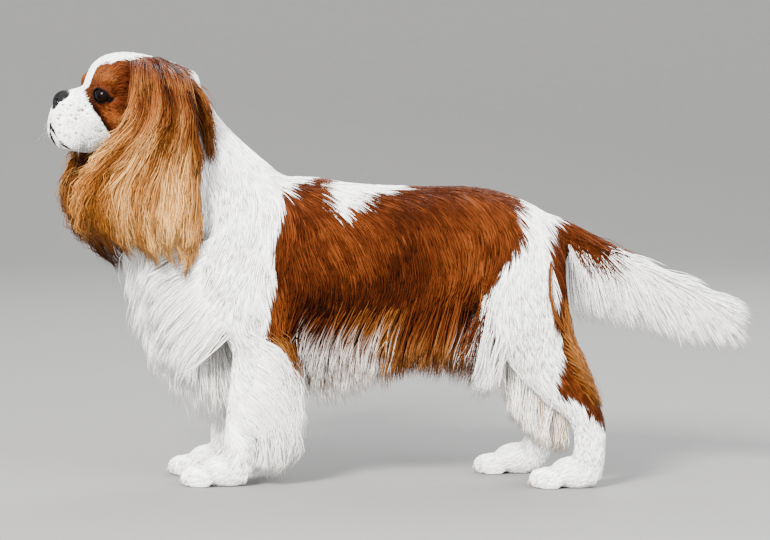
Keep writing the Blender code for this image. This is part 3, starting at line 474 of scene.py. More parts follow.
def almond(side):
    """The cutter that opens the lids."""
    wide, high = EYE_OPENING
    turn = np.linspace(0, 2 * math.pi, 48, endpoint=False)
    x, y = wide * np.cos(turn), high * np.sin(turn) * lid_height(turn)
    cutter = loft([np.column_stack([x, y, np.full(48, z)]) for z in (0.002, 0.02)])
    cutter.transform(Matrix.Rotation(side * EYE_TILT, 4, "Z"))
    cutter.transform(eye_frame(side))
    return cutter


# Skin
def side_rows(rows, steps, side):
    """Rows of a leg on one side, the right one set forward by its steps."""
    steps = steps if side == RIGHT else [0] * len(rows)
    return [(row[0] + step, side * row[1], *row[2:]) for row, step in zip(rows, steps)]


def paw_meshes(heel, side):
    """A foot with four toes, its toes towards -X."""
    x, y = heel
    toe_row = x - PAW_LENGTH * 0.50
    rows = [
        (x + 0.014, y, 0.010, 0.009, 0.012),
        (x, y, 0.014, 0.017, 0.0165),
        (x - 0.018, y, 0.0150, 0.0165, 0.0185),
        (toe_row, y, 0.0105, 0.0105, 0.0160),
        (toe_row - 0.009, y, 0.0075, 0.0055, 0.0110),
    ]
    pieces = [limb(rows, count=14, sides=20)]
    for spread, reach in zip(TOE_SPREAD, TOE_REACH):
        centre = (toe_row - 0.004 - reach, y + side * spread, 0.0090)
        pieces.append(ellipsoid(centre, (0.0150, TOE_RADIUS * 0.60, 0.0112), 20, 12))
    return pieces


def coat_depth(points):
    """How deep the short coat lies over the skin."""
    body = 0.0034 * smooth(0.03, 0.12, points[:, 2]) + 0.0008
    face = to_head(points)[:, 0]
    near_face = smooth(-0.03, 0.05, face) * smooth(0.30, 0.34, points[:, 2])
    return body * (1 - near_face) + 0.0007 * near_face


def body_skin():
    pieces, paws = [barrel(TORSO, 40, 32, 2.25), limb(NECK), limb(TAIL)], []
    for side in (LEFT, RIGHT):
        fore = side_rows(FORELEG, RIGHT_FORE_STEP, side)
        hind = side_rows(THIGH, RIGHT_HIND_STEP, side)
        pieces += [limb(side_rows(SHOULDER, [0] * 6, side)), limb(fore), limb(hind, count=40)]
        paws += paw_meshes(fore[-1][:2], side) + paw_meshes(hind[-1][:2], side)
    skin = remeshed(joined(pieces), BODY_VOXEL)
    skin = relaxed(skin, 30, share=0.12 + 0.88 * smooth(0.018, 0.045, points_of(skin)[:, 2]))
    skin = combined(skin, [relaxed(remeshed(joined(paws), PAW_VOXEL), 3)], "UNION")
    return relaxed(skin, 10, 0.5, -0.35, 1 - smooth(0.004, 0.012, abs(points_of(skin)[:, 2] - 0.028)))


def head_skin():
    pieces = [barrel(SKULL, 46, 32, 2.2), ellipsoid(*CHIN)]
    for side in (LEFT, RIGHT):
        for (forward, sideways, up), sizes in PADS:
            pieces.append(ellipsoid((forward, side * sideways, up), sizes))
    head = joined(pieces)
    head.transform(head_place())
    return relaxed(remeshed(joined([head, limb(NECK[-2:])]), HEAD_VOXEL), 14)


def mouth_groove(skin):
    """The thin tube that cuts the line of the mouth, laid on the skin."""
    tree = tree_of(skin)
    path = [(f, -l, u) for f, l, u in reversed(MOUTH)] + MOUTH[1:]
    rows = [(*tree.find_nearest(Vector(point))[0], MOUTH_WIDTH, MOUTH_WIDTH) for point in to_model(path)]
    return limb(rows, count=64, sides=8, across=(0.4, 0.1, 1))


def tree_of(mesh):
    mesh.calc_loop_triangles()
    corners = np.empty(len(mesh.loop_triangles) * 3, np.int32)
    mesh.loop_triangles.foreach_get("vertices", corners)
    return BVHTree.FromPolygons(points_of(mesh).tolist(), corners.reshape(-1, 3).tolist())


def ball_at_eye(side, radius, segments=40, rings=28):
    ball = ellipsoid((0, 0, 0), (radius,) * 3, segments, rings)
    ball.transform(eye_frame(side))
    return ball


def right_ear_back(up):
    """How far back the front edge of the right ear lies, against the left one's."""
    return RIGHT_EAR_BACK * np.clip(-up / 0.09, 0, 1)


def ear_section(up, back):
    """A level cut through an ear: its front edge, its width, and the directions along it and out of it."""
    f0, l0, f1, l1 = (np.interp(up, EAR[:, 0], EAR[:, k]) for k in range(1, 5))
    f0 = f0 - back
    width = np.hypot(f1 - f0, l1 - l0)
    along_f, along_l = (f1 - f0) / width, (l1 - l0) / width
    flip = np.where(along_f < 0, 1.0, -1.0)
    return f0, l0, width, (along_f, along_l), (along_l * flip, -along_f * flip)


def ear_bulge(share, width):
    return EAR_BULGE * (1 - (2 * share - 1) ** 2) * np.minimum(1, width / 0.07)


def ear_points(up, share, out, side):
    """Points on an ear's outer face, in the head's axes: share runs from its front edge to its back."""
    back = right_ear_back(up) if side == RIGHT else 0.0
    f0, l0, width, along, outward = ear_section(up, back)
    bulge = ear_bulge(share, width) + out
    forward = f0 + along[0] * width * share + outward[0] * bulge
    sideways = l0 + along[1] * width * share + outward[1] * bulge
    return np.stack([forward, -side * sideways, np.broadcast_to(up, forward.shape)], axis=-1)


def on_ear(points):
    """Whether points lie on the free flap of an ear."""
    forward, sideways, up = to_head(points).T
    f0, l0, width, along, outward = ear_section(up, np.where(sideways < 0, right_ear_back(up), 0))
    ahead, aside = forward - f0, abs(sideways) - l0
    share = (ahead * along[0] + aside * along[1]) / width
    out = ahead * outward[0] + aside * outward[1]
    flap = (share > -0.05) & (share < 1.05) & (abs(out - ear_bulge(share, width)) < 0.0034)
    return flap & (up > -0.059) & (up < 0.034) & (points[:, 2] > 0.3)


def leather_mesh(side):
    """The flap of an ear under its coat, cupped on its inner face."""
    turn = np.linspace(0, 2 * math.pi, 24, endpoint=False)
    rings = []
    for up, first, last, thick in catmull(LEATHER, 20):
        shares = (first + last) / 2 + np.cos(turn) * (last - first) / 2
        rings.append(to_model(ear_points(np.full(24, up), shares, thick * np.sin(turn), side)))
    return loft(rings)


def skin_mesh():
    """One skin over the whole dog, inside the CAD's flesh by the coat's depth."""
    body, head = body_skin(), head_skin()
    for mesh in (body, head):
        points = points_of(mesh)
        moved(mesh, points - normals_of(mesh) * coat_depth(points)[:, None])
    skin = combined(body, [head], "UNION")
    points = points_of(skin)
    seam = 1 - smooth(0.0, 0.030, abs((points - np.array([-0.236, 0, 0.372])) @ np.array([0.40, 0.0, -0.92])))
    skin = relaxed(skin, 10, 0.5, -0.3, seam)
    lids = [ball_at_eye(side, EYE_RADIUS + LID_THICKNESS) for side in (LEFT, RIGHT)]
    skin = combined(skin, lids, "UNION")
    points = points_of(skin)
    near_eye = np.zeros(len(points))
    for side in (LEFT, RIGHT):
        near_eye += 1 - smooth(0.009, 0.017, np.linalg.norm(in_eye(points, side), axis=1) - 0.004)
    skin = relaxed(skin, 5, 0.5, -0.4, near_eye)
    cutters = [ball_at_eye(side, EYE_RADIUS + 0.0002) for side in (LEFT, RIGHT)]
    cutters += [almond(LEFT), almond(RIGHT), mouth_groove(skin)]
    for cutter in cutters:
        skin = combined(skin, [cutter], "DIFFERENCE")
    points = points_of(skin)
    points[:, 2] = np.maximum(points[:, 2], SOLE)
    skin = moved(skin, points)
    return combined(skin, [leather_mesh(LEFT), leather_mesh(RIGHT)], "UNION")


# Lie of the coat
# Body: piece, place, direction of the hair, its length, how freely it hangs
COAT = [
    ("neck", (-0.232, 0.000, 0.405), (0.55, 0, -0.85), 0.020, 0),
    ("neck", (-0.205, 0.000, 0.372), (0.60, 0, -0.80), 0.028, 0),
    ("neck", (-0.175, 0.000, 0.345), (0.70, 0, -0.70), 0.030, 0),
    ("neck", (-0.215, 0.045, 0.370), (0.25, 0, -1.0), 0.022, 0),
    ("neck", (-0.190, 0.050, 0.320), (0.15, 0, -1.0), 0.024, 0),
    ("neck", (-0.235, 0.048, 0.330), (-0.05, 0, -1.0), 0.034, 0),
    ("neck", (-0.262, 0.028, 0.330), (-0.10, 0, -1.0), 0.036, 0.2),
    ("neck", (-0.268, 0.000, 0.330), (-0.05, 0, -1.0), 0.036, 0.2),
    ("chest", (-0.235, 0.040, 0.275), (-0.25, 0, -1.0), 0.036, 0.1),
    ("chest", (-0.240, 0.015, 0.265), (-0.25, 0, -1.0), 0.036, 0.2),
    ("chest", (-0.190, 0.062, 0.250), (-0.22, 0, -1.0), 0.024, 0),
    ("chest", (-0.150, 0.066, 0.280), (0.05, 0, -1.0), 0.024, 0),
    ("chest", (-0.120, 0.066, 0.270), (0.20, 0, -1.0), 0.032, 0),
    ("chest", (-0.120, 0.066, 0.220), (0.00, 0, -1.0), 0.034, 0),
    ("chest", (-0.165, 0.070, 0.210), (-0.30, 0, -1.0), 0.024, 0),
    ("chest", (-0.190, 0.066, 0.185), (-0.55, 0, -0.8), 0.036, 0.1),
    ("chest", (-0.150, 0.070, 0.175), (0.15, 0, -1.0), 0.022, 0),
    ("chest", (-0.120, 0.066, 0.160), (0.30, 0, -0.95), 0.032, 0),
    ("chest", (-0.228, 0.030, 0.235), (-0.38, 0.02, -1.0), 0.034, 0.3),
    ("chest", (-0.232, 0.000, 0.225), (-0.45, 0, -1.0), 0.034, 0.3),
    ("chest", (-0.215, 0.035, 0.195), (-0.42, 0, -1.0), 0.034, 0.3),
    ("chest", (-0.200, 0.020, 0.165), (-0.32, 0, -1.0), 0.034, 0.4),
    ("chest", (-0.180, 0.000, 0.145), (-0.20, 0, -1.0), 0.034, 0.4),
    ("torso", (-0.100, 0.000, 0.322), (1.0, 0, -0.15), 0.024, 0),
    ("torso", (-0.030, 0.000, 0.315), (1.0, 0, 0.0), 0.024, 0),
    ("torso", (0.050, 0.000, 0.312), (1.0, 0, -0.05), 0.024, 0),
    ("torso", (0.110, 0.000, 0.302), (0.95, 0, -0.3), 0.025, 0),
    ("torso", (0.150, 0.000, 0.285), (0.80, 0, -0.6), 0.028, 0),
    ("torso", (-0.080, 0.045, 0.300), (0.80, 0.2, -0.60), 0.028, 0),
    ("torso", (0.000, 0.048, 0.295), (0.75, 0.2, -0.65), 0.028, 0),
    ("torso", (0.080, 0.045, 0.292), (0.60, 0.2, -0.75), 0.028, 0),
    ("torso", (0.130, 0.035, 0.275), (0.50, 0.2, -0.85), 0.030, 0),
    ("torso", (-0.090, 0.072, 0.240), (0.25, 0, -1.0), 0.034, 0),
    ("torso", (-0.030, 0.073, 0.240), (0.30, 0, -1.0), 0.034, 0),
    ("torso", (0.040, 0.067, 0.240), (0.25, 0, -1.0), 0.034, 0),
    ("torso", (0.090, 0.058, 0.235), (0.05, 0, -1.0), 0.034, 0),
    ("torso", (-0.090, 0.066, 0.185), (-0.15, 0, -1.0), 0.038, 0.1),
    ("torso", (-0.030, 0.068, 0.185), (-0.30, 0, -1.0), 0.038, 0.1),
    ("torso", (0.030, 0.064, 0.190), (-0.38, 0, -1.0), 0.038, 0.1),
    ("torso", (0.070, 0.058, 0.195), (-0.32, 0, -1.0), 0.038, 0.1),
    ("torso", (-0.040, 0.050, 0.152), (-0.28, 0, -1.0), 0.034, 0.6),
    ("torso", (0.050, 0.045, 0.165), (-0.28, 0, -1.0), 0.034, 0.6),
    ("torso", (-0.070, 0.000, 0.143), (-0.2, 0, -1.0), 0.034, 0.8),
    ("torso", (0.000, 0.000, 0.150), (-0.2, 0, -1.0), 0.034, 0.8),
    ("torso", (0.070, 0.000, 0.165), (-0.2, 0, -1.0), 0.034, 0.8),
    ("tail", (0.175, 0.000, 0.272), (0.85, 0, -0.50), 0.032, 0),
    ("tail", (0.210, 0.000, 0.255), (0.85, 0, -0.50), 0.034, 0.1),
    ("tail", (0.260, 0.000, 0.232), (0.88, 0, -0.48), 0.036, 0.15),
    ("tail", (0.310, 0.000, 0.208), (0.90, 0, -0.42), 0.036, 0.2),
    ("tail", (0.335, 0.000, 0.190), (0.92, 0, -0.35), 0.034, 0.3),
    ("tail", (0.200, 0.014, 0.245), (0.75, 0.05, -0.70), 0.036, 0.25),
    ("tail", (0.300, 0.009, 0.197), (0.80, 0.03, -0.60), 0.036, 0.4),
    ("tail", (0.190, 0.000, 0.232), (0.45, 0, -0.90), 0.036, 0.5),
    ("tail", (0.290, 0.000, 0.195), (0.55, 0, -0.84), 0.036, 0.6),
    ("tail", (0.174, 0.015, 0.240), (0.30, 0, -1.0), 0.032, 0.2),
]
HIND_COAT = [
    ("thigh", (0.128, 0.062, 0.240), (0.15, 0, -1.0), 0.022, 0),
    ("thigh", (0.100, 0.066, 0.215), (0.00, 0, -1.0), 0.024, 0),
    ("thigh", (0.135, 0.075, 0.200), (0.15, 0, -1.0), 0.019, 0),
    ("thigh", (0.090, 0.055, 0.175), (-0.05, 0, -1.0), 0.034, 0.2),
    ("thigh", (0.160, 0.050, 0.220), (0.30, 0, -1.0), 0.034, 0.1),
    ("thigh", (0.174, 0.045, 0.185), (0.15, 0, -1.0), 0.034, 0.2),
    ("thigh", (0.165, 0.020, 0.200), (0.10, 0, -1.0), 0.035, 0.3),
    ("thigh", (0.150, 0.078, 0.160), (0.30, 0, -1.0), 0.017, 0),
    ("thigh", (0.168, 0.072, 0.130), (0.45, 0, -0.9), 0.014, 0),
    ("thigh", (0.186, 0.068, 0.100), (0.50, 0, -0.9), 0.012, 0),
    ("thigh", (0.186, 0.056, 0.125), (0.35, 0, -1.0), 0.036, 0.4),
    ("thigh", (0.202, 0.055, 0.095), (0.20, 0, -1.0), 0.028, 0.3),
    ("thigh", (0.130, 0.030, 0.170), (0.00, 0, -1.0), 0.034, 0.4),
    ("thigh", (0.145, 0.035, 0.135), (0.00, 0, -1.0), 0.034, 0.5),
    ("thigh", (0.165, 0.038, 0.110), (0.00, 0, -1.0), 0.030, 0.5),
    ("hindleg", (0.196, 0.071, 0.066), (0.10, 0, -1.0), 0.012, 0),
    ("hindleg", (0.178, 0.055, 0.055), (0.10, 0, -1.0), 0.010, 0),
    ("hindleg", (0.213, 0.055, 0.050), (0.05, 0, -1.0), 0.014, 0.1),
    ("hindleg", (0.196, 0.040, 0.050), (0.00, 0, -1.0), 0.011, 0),
    ("hindleg", (0.165, 0.055, 0.027), (-0.9, 0, -0.35), 0.009, 0),
    ("hindleg", (0.148, 0.055, 0.018), (-0.8, 0, -0.5), 0.007, 0),
    ("hindleg", (0.170, 0.074, 0.012), (-0.6, 0, -0.5), 0.008, 0),
    ("hindleg", (0.206, 0.055, 0.014), (0.10, 0, -1.0), 0.009, 0),
]
FORE_COAT = [
    ("foreleg", (-0.172, 0.045, 0.130), (0.25, 0, -1.0), 0.020, 0),
    ("foreleg", (-0.179, 0.043, 0.085), (0.30, 0.1, -1.0), 0.014, 0),
    ("foreleg", (-0.181, 0.043, 0.050), (0.10, 0, -1.0), 0.011, 0),
    ("foreleg", (-0.150, 0.064, 0.135), (0.50, 0.05, -0.85), 0.022, 0.05),
    ("foreleg", (-0.160, 0.061, 0.095), (0.90, 0.05, -0.50), 0.022, 0.1),
    ("foreleg", (-0.163, 0.060, 0.060), (0.90, 0.05, -0.55), 0.020, 0.1),
    ("foreleg", (-0.125, 0.048, 0.135), (0.25, 0, -1.0), 0.034, 0.4),
    ("foreleg", (-0.138, 0.044, 0.100), (0.45, 0, -1.0), 0.034, 0.5),
    ("foreleg", (-0.144, 0.043, 0.065), (0.50, 0, -1.0), 0.034, 0.5),
    ("foreleg", (-0.146, 0.043, 0.045), (0.50, 0, -1.0), 0.028, 0.4),
    ("foreleg", (-0.150, 0.028, 0.130), (0.30, 0, -1.0), 0.028, 0.2),
    ("foreleg", (-0.160, 0.026, 0.080), (0.50, 0, -1.0), 0.024, 0.1),
    ("forepaw", (-0.182, 0.043, 0.027), (-0.7, 0, -0.5), 0.010, 0),
    ("forepaw", (-0.208, 0.043, 0.017), (-0.8, 0, -0.5), 0.007, 0),
    ("forepaw", (-0.180, 0.063, 0.012), (-0.5, 0.1, -0.6), 0.009, 0),
    ("forepaw", (-0.150, 0.043, 0.014), (0.20, 0, -1.0), 0.011, 0.1),
]
# Head, in its own axes: place, direction, length
HEAD_COAT = [
    ((0.085, 0.000, 0.004), (-1.0, 0.0, 0.10), 0.003),
    ((0.070, 0.000, 0.010), (-1.0, 0.0, 0.30), 0.004),
    ((0.062, 0.000, 0.022), (-0.75, 0.0, 0.65), 0.0055),
    ((0.050, 0.000, 0.038), (-0.9, 0.0, 0.40), 0.008),
    ((0.020, 0.000, 0.045), (-1.0, 0.0, 0.02), 0.010),
    ((0.005, 0.013, 0.045), (-1.0, 0.10, -0.02), 0.010),
    ((-0.018, 0.011, 0.040), (-1.0, 0.10, -0.20), 0.012),
    ((-0.020, 0.000, 0.040), (-1.0, 0.0, -0.20), 0.014),
    ((-0.050, 0.000, 0.026), (-0.8, 0.0, -0.60), 0.018),
    ((0.090, 0.018, -0.010), (-0.85, 0.2, -0.35), 0.0032),
    ((0.080, 0.028, -0.028), (-0.85, 0.1, -0.45), 0.0036),
    ((0.085, 0.024, -0.050), (-0.75, 0.1, -0.65), 0.0042),
    ((0.103, 0.006, -0.024), (-0.2, 0.5, -0.85), 0.0032),
    ((0.088, 0.000, -0.060), (-0.8, 0.0, -0.40), 0.006),
    ((0.060, 0.000, -0.064), (-0.9, 0.0, -0.30), 0.011),
    ((0.062, 0.034, -0.030), (-0.8, 0.1, -0.55), 0.0048),
    ((0.058, 0.036, -0.016), (-0.75, 0.2, -0.55), 0.0045),
    ((0.056, 0.026, 0.018), (-0.55, 0.25, 0.80), 0.006),
    ((0.035, 0.040, 0.012), (-0.9, 0.1, 0.10), 0.009),
    ((0.030, 0.046, -0.025), (-0.75, 0.0, -0.60), 0.011),
    ((0.030, 0.036, -0.052), (-0.7, 0.0, -0.70), 0.016),
    ((0.006, 0.032, 0.042), (-0.5, 0.80, -0.30), 0.020),
    ((-0.010, 0.040, 0.034), (-0.4, 0.60, -0.70), 0.024),
    ((0.018, 0.036, 0.030), (-0.5, 0.60, -0.60), 0.016),
    ((0.000, 0.046, 0.020), (-0.6, 0.05, -0.75), 0.016),
    ((-0.030, 0.043, 0.000), (-0.5, 0.0, -0.85), 0.020),
    ((0.000, 0.020, -0.055), (-0.5, 0.0, -0.85), 0.022),
    ((0.000, 0.000, -0.058), (-0.5, 0.0, -0.85), 0.022),
]
# Strand sizes by hair length: length, width, layers of cover
STRAND = np.array([
    (0.003, 0.00054, 1.35),
    (0.010, 0.00075, 2.05),
    (0.022, 0.00085, 2.8),
    (0.036, 0.00104, 3.2),
])
STEPS = 6


def stepped(rows, table, steps, side):
    """Anchors of a leg on one side, moved as its rows are."""
    heights = [row[2] for row in table]
    order = np.argsort(heights)
    made = []
    for piece, (x, y, z), (dx, dy, dz), length, hang in rows:
        step = np.interp(z, np.array(heights)[order], np.array(steps)[order]) if side == RIGHT else 0.0
        name = f"{piece}_{SIDE_NAME[side]}"
        made.append((name, (x + step, side * y, z), (dx, side * dy, dz), length, hang))
    return made


def anchors():
    """Every anchor of the coat's lie, on both sides."""
    rows = []
    for piece, (x, y, z), (dx, dy, dz), length, hang in COAT:
        for side in (LEFT, RIGHT) if y else (LEFT,):
            rows.append((piece, (x, side * y, z), (dx, side * dy, dz), length, hang))
    for side in (LEFT, RIGHT):
        rows += stepped(HIND_COAT, THIGH, RIGHT_HIND_STEP, side)
        rows += stepped(FORE_COAT, FORELEG, RIGHT_FORE_STEP, side)
    turn = HEAD_PLACE[:3, :3]
    for (f, l, u), (df, dl, du), length in HEAD_COAT:
        for side in (LEFT, RIGHT) if l else (LEFT,):
            place = to_model([(f, side * l, u)])[0]
            rows.append(("head", tuple(place), tuple(turn @ np.array((df, side * dl, du))), length, 0))
    return rows


ANCHORS = anchors()
ANCHOR_PLACES = np.array([row[1] for row in ANCHORS])
ANCHOR_VALUES = np.array([(*row[2], row[3], row[4]) for row in ANCHORS])
ANCHOR_VALUES[:, :3] = unit(ANCHOR_VALUES[:, :3])
PIECE_NAMES = sorted({row[0] for row in ANCHORS})
ANCHOR_PIECE = np.array([PIECE_NAMES.index(row[0]) for row in ANCHORS])


def lie(points):
    """Direction, length and hang of the coat at points, and the nearest anchor."""
    values = np.empty((len(points), 5))
    nearest = np.empty(len(points), int)
    for start in range(0, len(points), 20_000):
        block = points[start : start + 20_000]
        gap = ((block[:, None] - ANCHOR_PLACES) ** 2).sum(-1)
        weight = 1 / (gap + 0.009**2) ** 2
        values[start : start + len(block)] = (weight @ ANCHOR_VALUES) / weight.sum(1)[:, None]
        nearest[start : start + len(block)] = gap.argmin(1)
    values[:, :3] = unit(values[:, :3])
    return values[:, :3], values[:, 3], values[:, 4], nearest


# Markings
# Chestnut patches of one side, as outlines of x and z
SADDLE = [
    (-0.121, 0.309), (-0.097, 0.321), (-0.082, 0.318), (-0.080, 0.304), (-0.074, 0.289), (-0.056, 0.288),
    (-0.032, 0.296), (-0.008, 0.308), (0.004, 0.317), (0.004, 0.335), (0.062, 0.335), (0.069, 0.315),
    (0.094, 0.306), (0.120, 0.292), (0.126, 0.268), (0.124, 0.247), (0.113, 0.229), (0.099, 0.212),
    (0.090, 0.196), (0.080, 0.178), (0.074, 0.150), (0.060, 0.110), (0.000, 0.110), (-0.006, 0.146),
    (-0.045, 0.158), (-0.075, 0.157), (-0.096, 0.147), (-0.108, 0.130), (-0.142, 0.156), (-0.135, 0.210),
    (-0.127, 0.250), (-0.122, 0.285),
]
TAIL_PATCH = [
    (0.153, 0.300), (0.190, 0.285), (0.226, 0.262), (0.218, 0.243), (0.195, 0.238), (0.187, 0.205),
    (0.190, 0.165), (0.205, 0.140), (0.222, 0.100), (0.226, 0.060), (0.213, 0.062), (0.203, 0.080),
    (0.186, 0.087), (0.168, 0.096), (0.162, 0.108), (0.163, 0.124), (0.163, 0.142), (0.160, 0.170),
    (0.157, 0.200), (0.155, 0.225), (0.150, 0.250),
]


# Half width of the blaze by how far forward, in the head's axes
BLAZE = [
    (-0.060, 0.003), (-0.030, 0.004), (0.000, 0.013), (0.030, 0.023), (0.046, 0.0225), (0.054, 0.0155),
    (0.062, 0.0100),
]
# How far forward the chestnut of the face reaches, and how far back, by height
FACE_FRONT = [
    (-0.060, 0.038), (-0.045, 0.049), (-0.025, 0.062), (-0.010, 0.071), (0.002, 0.0745), (0.015, 0.073),
    (0.040, 0.060),
]
FACE_BACK = [(-0.03, 0.026), (0.02, 0.036), (0.05, 0.050)]


def outline_depth(points, outline):
    """Signed distance inside an outline of x and z: positive within."""
    x, z = points[:, 0], points[:, 2]
    inside = np.zeros(len(points), bool)
    nearest = np.full(len(points), 9.0)
    for (x0, z0), (x1, z1) in zip(outline, outline[1:] + outline[:1]):
        crosses = (z0 > z) != (z1 > z)
        slope = np.where(crosses, (x1 - x0) * (z - z0) / ((z1 - z0) or 1e-9) + x0, 9.0)
        inside ^= crosses & (x < slope)
        span = (x1 - x0) ** 2 + (z1 - z0) ** 2
        t = np.clip(((x - x0) * (x1 - x0) + (z - z0) * (z1 - z0)) / span, 0, 1)
        nearest = np.minimum(nearest, np.hypot(x - x0 - t * (x1 - x0), z - z0 - t * (z1 - z0)))
    return np.where(inside, nearest, -nearest)


def face_depth(points):
    """Signed distance inside the chestnut of the head: positive within."""
    forward, sideways, up = to_head(points).T
    sideways = abs(sideways)
    beside, ahead = sideways - read_at(forward, BLAZE), read_at(up, FACE_FRONT) - forward
    return np.minimum(np.minimum(beside, ahead), read_at(up, FACE_BACK) + forward)


def chestnut(points):
    """How chestnut the coat is at its roots, from 0 to 1."""
    shake = 0.0030 * ripple(points, 0.018, 3) + 0.0012 * ripple(points, 0.006, 4)
    far = points[:, 1] > 0
    shifted = points.copy()
    shifted[:, 0] += np.where(far, 0.009 * np.sin(points[:, 2] * 38), 0.0)
    body = np.maximum(outline_depth(shifted, SADDLE), outline_depth(points, TAIL_PATCH))
    head = to_head(points)
    on_head = (points[:, 2] > 0.335) & (head[:, 2] > -0.066) & (head[:, 0] > -0.062)
    depth = np.where(on_head, face_depth(points), body)
    return smooth(-0.0012, 0.0012, depth + shake * np.where(on_head, 0.4, 1.0))


FRECKLE_SEED = 21


def freckles(points):
    """Small tan spots on the white of the muzzle, from 0 to 1."""
    rng = np.random.default_rng(FRECKLE_SEED)
    head = to_head(points)
    total = np.zeros(len(points))
    for _ in range(64):
        side = rng.choice((-1, 1))
        spot = np.array((rng.uniform(0.068, 0.102), 0.0, rng.uniform(-0.052, -0.010)))
        size = rng.uniform(0.0007, 0.0015)
        gap = np.hypot(head[:, 0] - spot[0], head[:, 2] - spot[2])
        total = np.maximum(total, (1 - smooth(size * 0.6, size * 1.4, gap)) * (head[:, 1] * side > 0))
    return total


WHITE_ROOT = np.array((0.80, 0.78, 0.75))
WHITE_TIP = np.array((0.94, 0.935, 0.92))
CREAM = np.array((0.84, 0.72, 0.54))
CHESTNUT_DARK = np.array((0.007, 0.0018, 0.0010))
CHESTNUT_MID = np.array((0.046, 0.0098, 0.0026))
CHESTNUT_LIGHT = np.array((0.165, 0.042, 0.0085))
GOLD_DARK = np.array((0.062, 0.014, 0.003))
GOLD_MID = np.array((0.25, 0.088, 0.016))
GOLD_LIGHT = np.array((0.62, 0.335, 0.105))
FRECKLE = np.array((0.055, 0.024, 0.012))


def ramp(values, *colours):
    """Colours read at values from 0 to 1 along an even ramp."""
    colours = np.array(colours)
    stops = np.linspace(0, 1, len(colours))
    return np.stack([np.interp(values, stops, colours[:, k]) for k in range(3)], axis=-1)


def coat_colour(brown, gold, tone, along, cream):
    """The coat's colour: tone runs from -1, dark, to 1, light, and along from root to tip."""
    white = ramp(np.clip(0.35 + 0.65 * along + 0.14 * tone, 0, 1), WHITE_ROOT, WHITE_TIP)
    white = white + (CREAM - white) * (cream * 0.6)[..., None]
    light = np.clip(0.40 + 0.22 * along + 0.33 * tone, 0, 1)
    red = ramp(light, CHESTNUT_DARK, CHESTNUT_MID, CHESTNUT_LIGHT)
    tan = ramp(light, GOLD_DARK, GOLD_MID, GOLD_LIGHT)
    coloured = red + (tan - red) * gold[..., None]
    return white + (coloured - white) * brown[..., None]


# Lighter and darker parts of the face, in the head's axes: forward, up, size, how light
FACE_FIELDS = [
    (0.046, -0.024, 0.0080, 1.0),
    (0.054, 0.017, 0.0080, 0.8),
    (0.030, 0.012, 0.0110, -0.5),
    (0.020, -0.030, 0.0120, -0.4),
]


def face_tone(points):
    """How light the chestnut of the face is: golden round the eye and dark along its front border."""
    forward, _, up = to_head(points).T
    light = fields_at(forward, up, FACE_FIELDS)
    border = (1 - smooth(0.0015, 0.0065, face_depth(points))) * smooth(0.0, -0.012, up)
    return light - 0.25 - 1.6 * border


# Materials
def node_material(name):
    material = bpy.data.materials.new(name)
    material.use_nodes = True
    tree = material.node_tree
    return material, tree, tree.nodes["Principled BSDF"]


def add_bump(tree, shader, height, strength, distance):
    bump = tree.nodes.new("ShaderNodeBump")
    bump.inputs["Strength"].default_value = strength
    bump.inputs["Distance"].default_value = distance
    tree.links.new(height, bump.inputs["Height"])
    tree.links.new(bump.outputs["Normal"], shader.inputs["Normal"])


def texture(tree, kind, scale, **inputs):
    """A procedural texture in the model's own axes."""
    place = tree.nodes.new("ShaderNodeTexCoord")
    node = tree.nodes.new(kind)
    node.inputs["Scale"].default_value = scale
    for name, value in inputs.items():
        node.inputs[name].default_value = value
    tree.links.new(place.outputs["Object"], node.inputs["Vector"])
    return node


def tinted(tree, colour, factor, low, high):
    """The colour, made darker or lighter by a texture."""
    spread = tree.nodes.new("ShaderNodeMapRange")
    spread.inputs["To Min"].default_value = low
    spread.inputs["To Max"].default_value = high
    tree.links.new(factor, spread.inputs["Value"])
    scale = tree.nodes.new("ShaderNodeVectorMath")
    scale.operation = "SCALE"
    tree.links.new(colour, scale.inputs[0])
    tree.links.new(spread.outputs["Result"], scale.inputs["Scale"])
    return scale.outputs["Vector"]


def mesh_colour(tree):
    """The colour that lies on the mesh."""
    colour = tree.nodes.new("ShaderNodeAttribute")
    colour.attribute_name = "coat"
    return colour.outputs["Color"]


def two_tone(tree, shader, factor, first, second):
    """Colours a surface by a texture, between two colours."""
    shade = tree.nodes.new("ShaderNodeValToRGB")
    shade.color_ramp.elements[0].color = (*first, 1)
    shade.color_ramp.elements[1].color = (*second, 1)
    tree.links.new(factor, shade.inputs["Fac"])
    tree.links.new(shade.outputs["Color"], shader.inputs["Base Color"])


def coat_material():
    """Hair: its colour lies on the mesh, with fine streaks and a soft gloss."""
    material, tree, shader = node_material("coat")
    streaks = texture(tree, "ShaderNodeTexNoise", 900, Detail=2.0)
    tone = tinted(tree, mesh_colour(tree), streaks.outputs["Fac"], 0.86, 1.12)
    tree.links.new(tone, shader.inputs["Base Color"])
    tree.links.new(tone, shader.inputs["Specular Tint"])
    shader.inputs["Roughness"].default_value = 0.48
    shader.inputs["Specular IOR Level"].default_value = 0.36
    return material


def skin_material():
    """Skin under the coat, and the short flat fur that shows between the tufts."""
    material, tree, shader = node_material("skin")
    hairs = texture(tree, "ShaderNodeTexNoise", 1400, Detail=3.0)
    tone = tinted(tree, mesh_colour(tree), hairs.outputs["Fac"], 0.80, 1.15)
    tree.links.new(tone, shader.inputs["Base Color"])
    tree.links.new(tone, shader.inputs["Specular Tint"])
    add_bump(tree, shader, hairs.outputs["Fac"], 0.5, 0.0006)
    shader.inputs["Roughness"].default_value = 0.6
    shader.inputs["Specular IOR Level"].default_value = 0.4
    return material


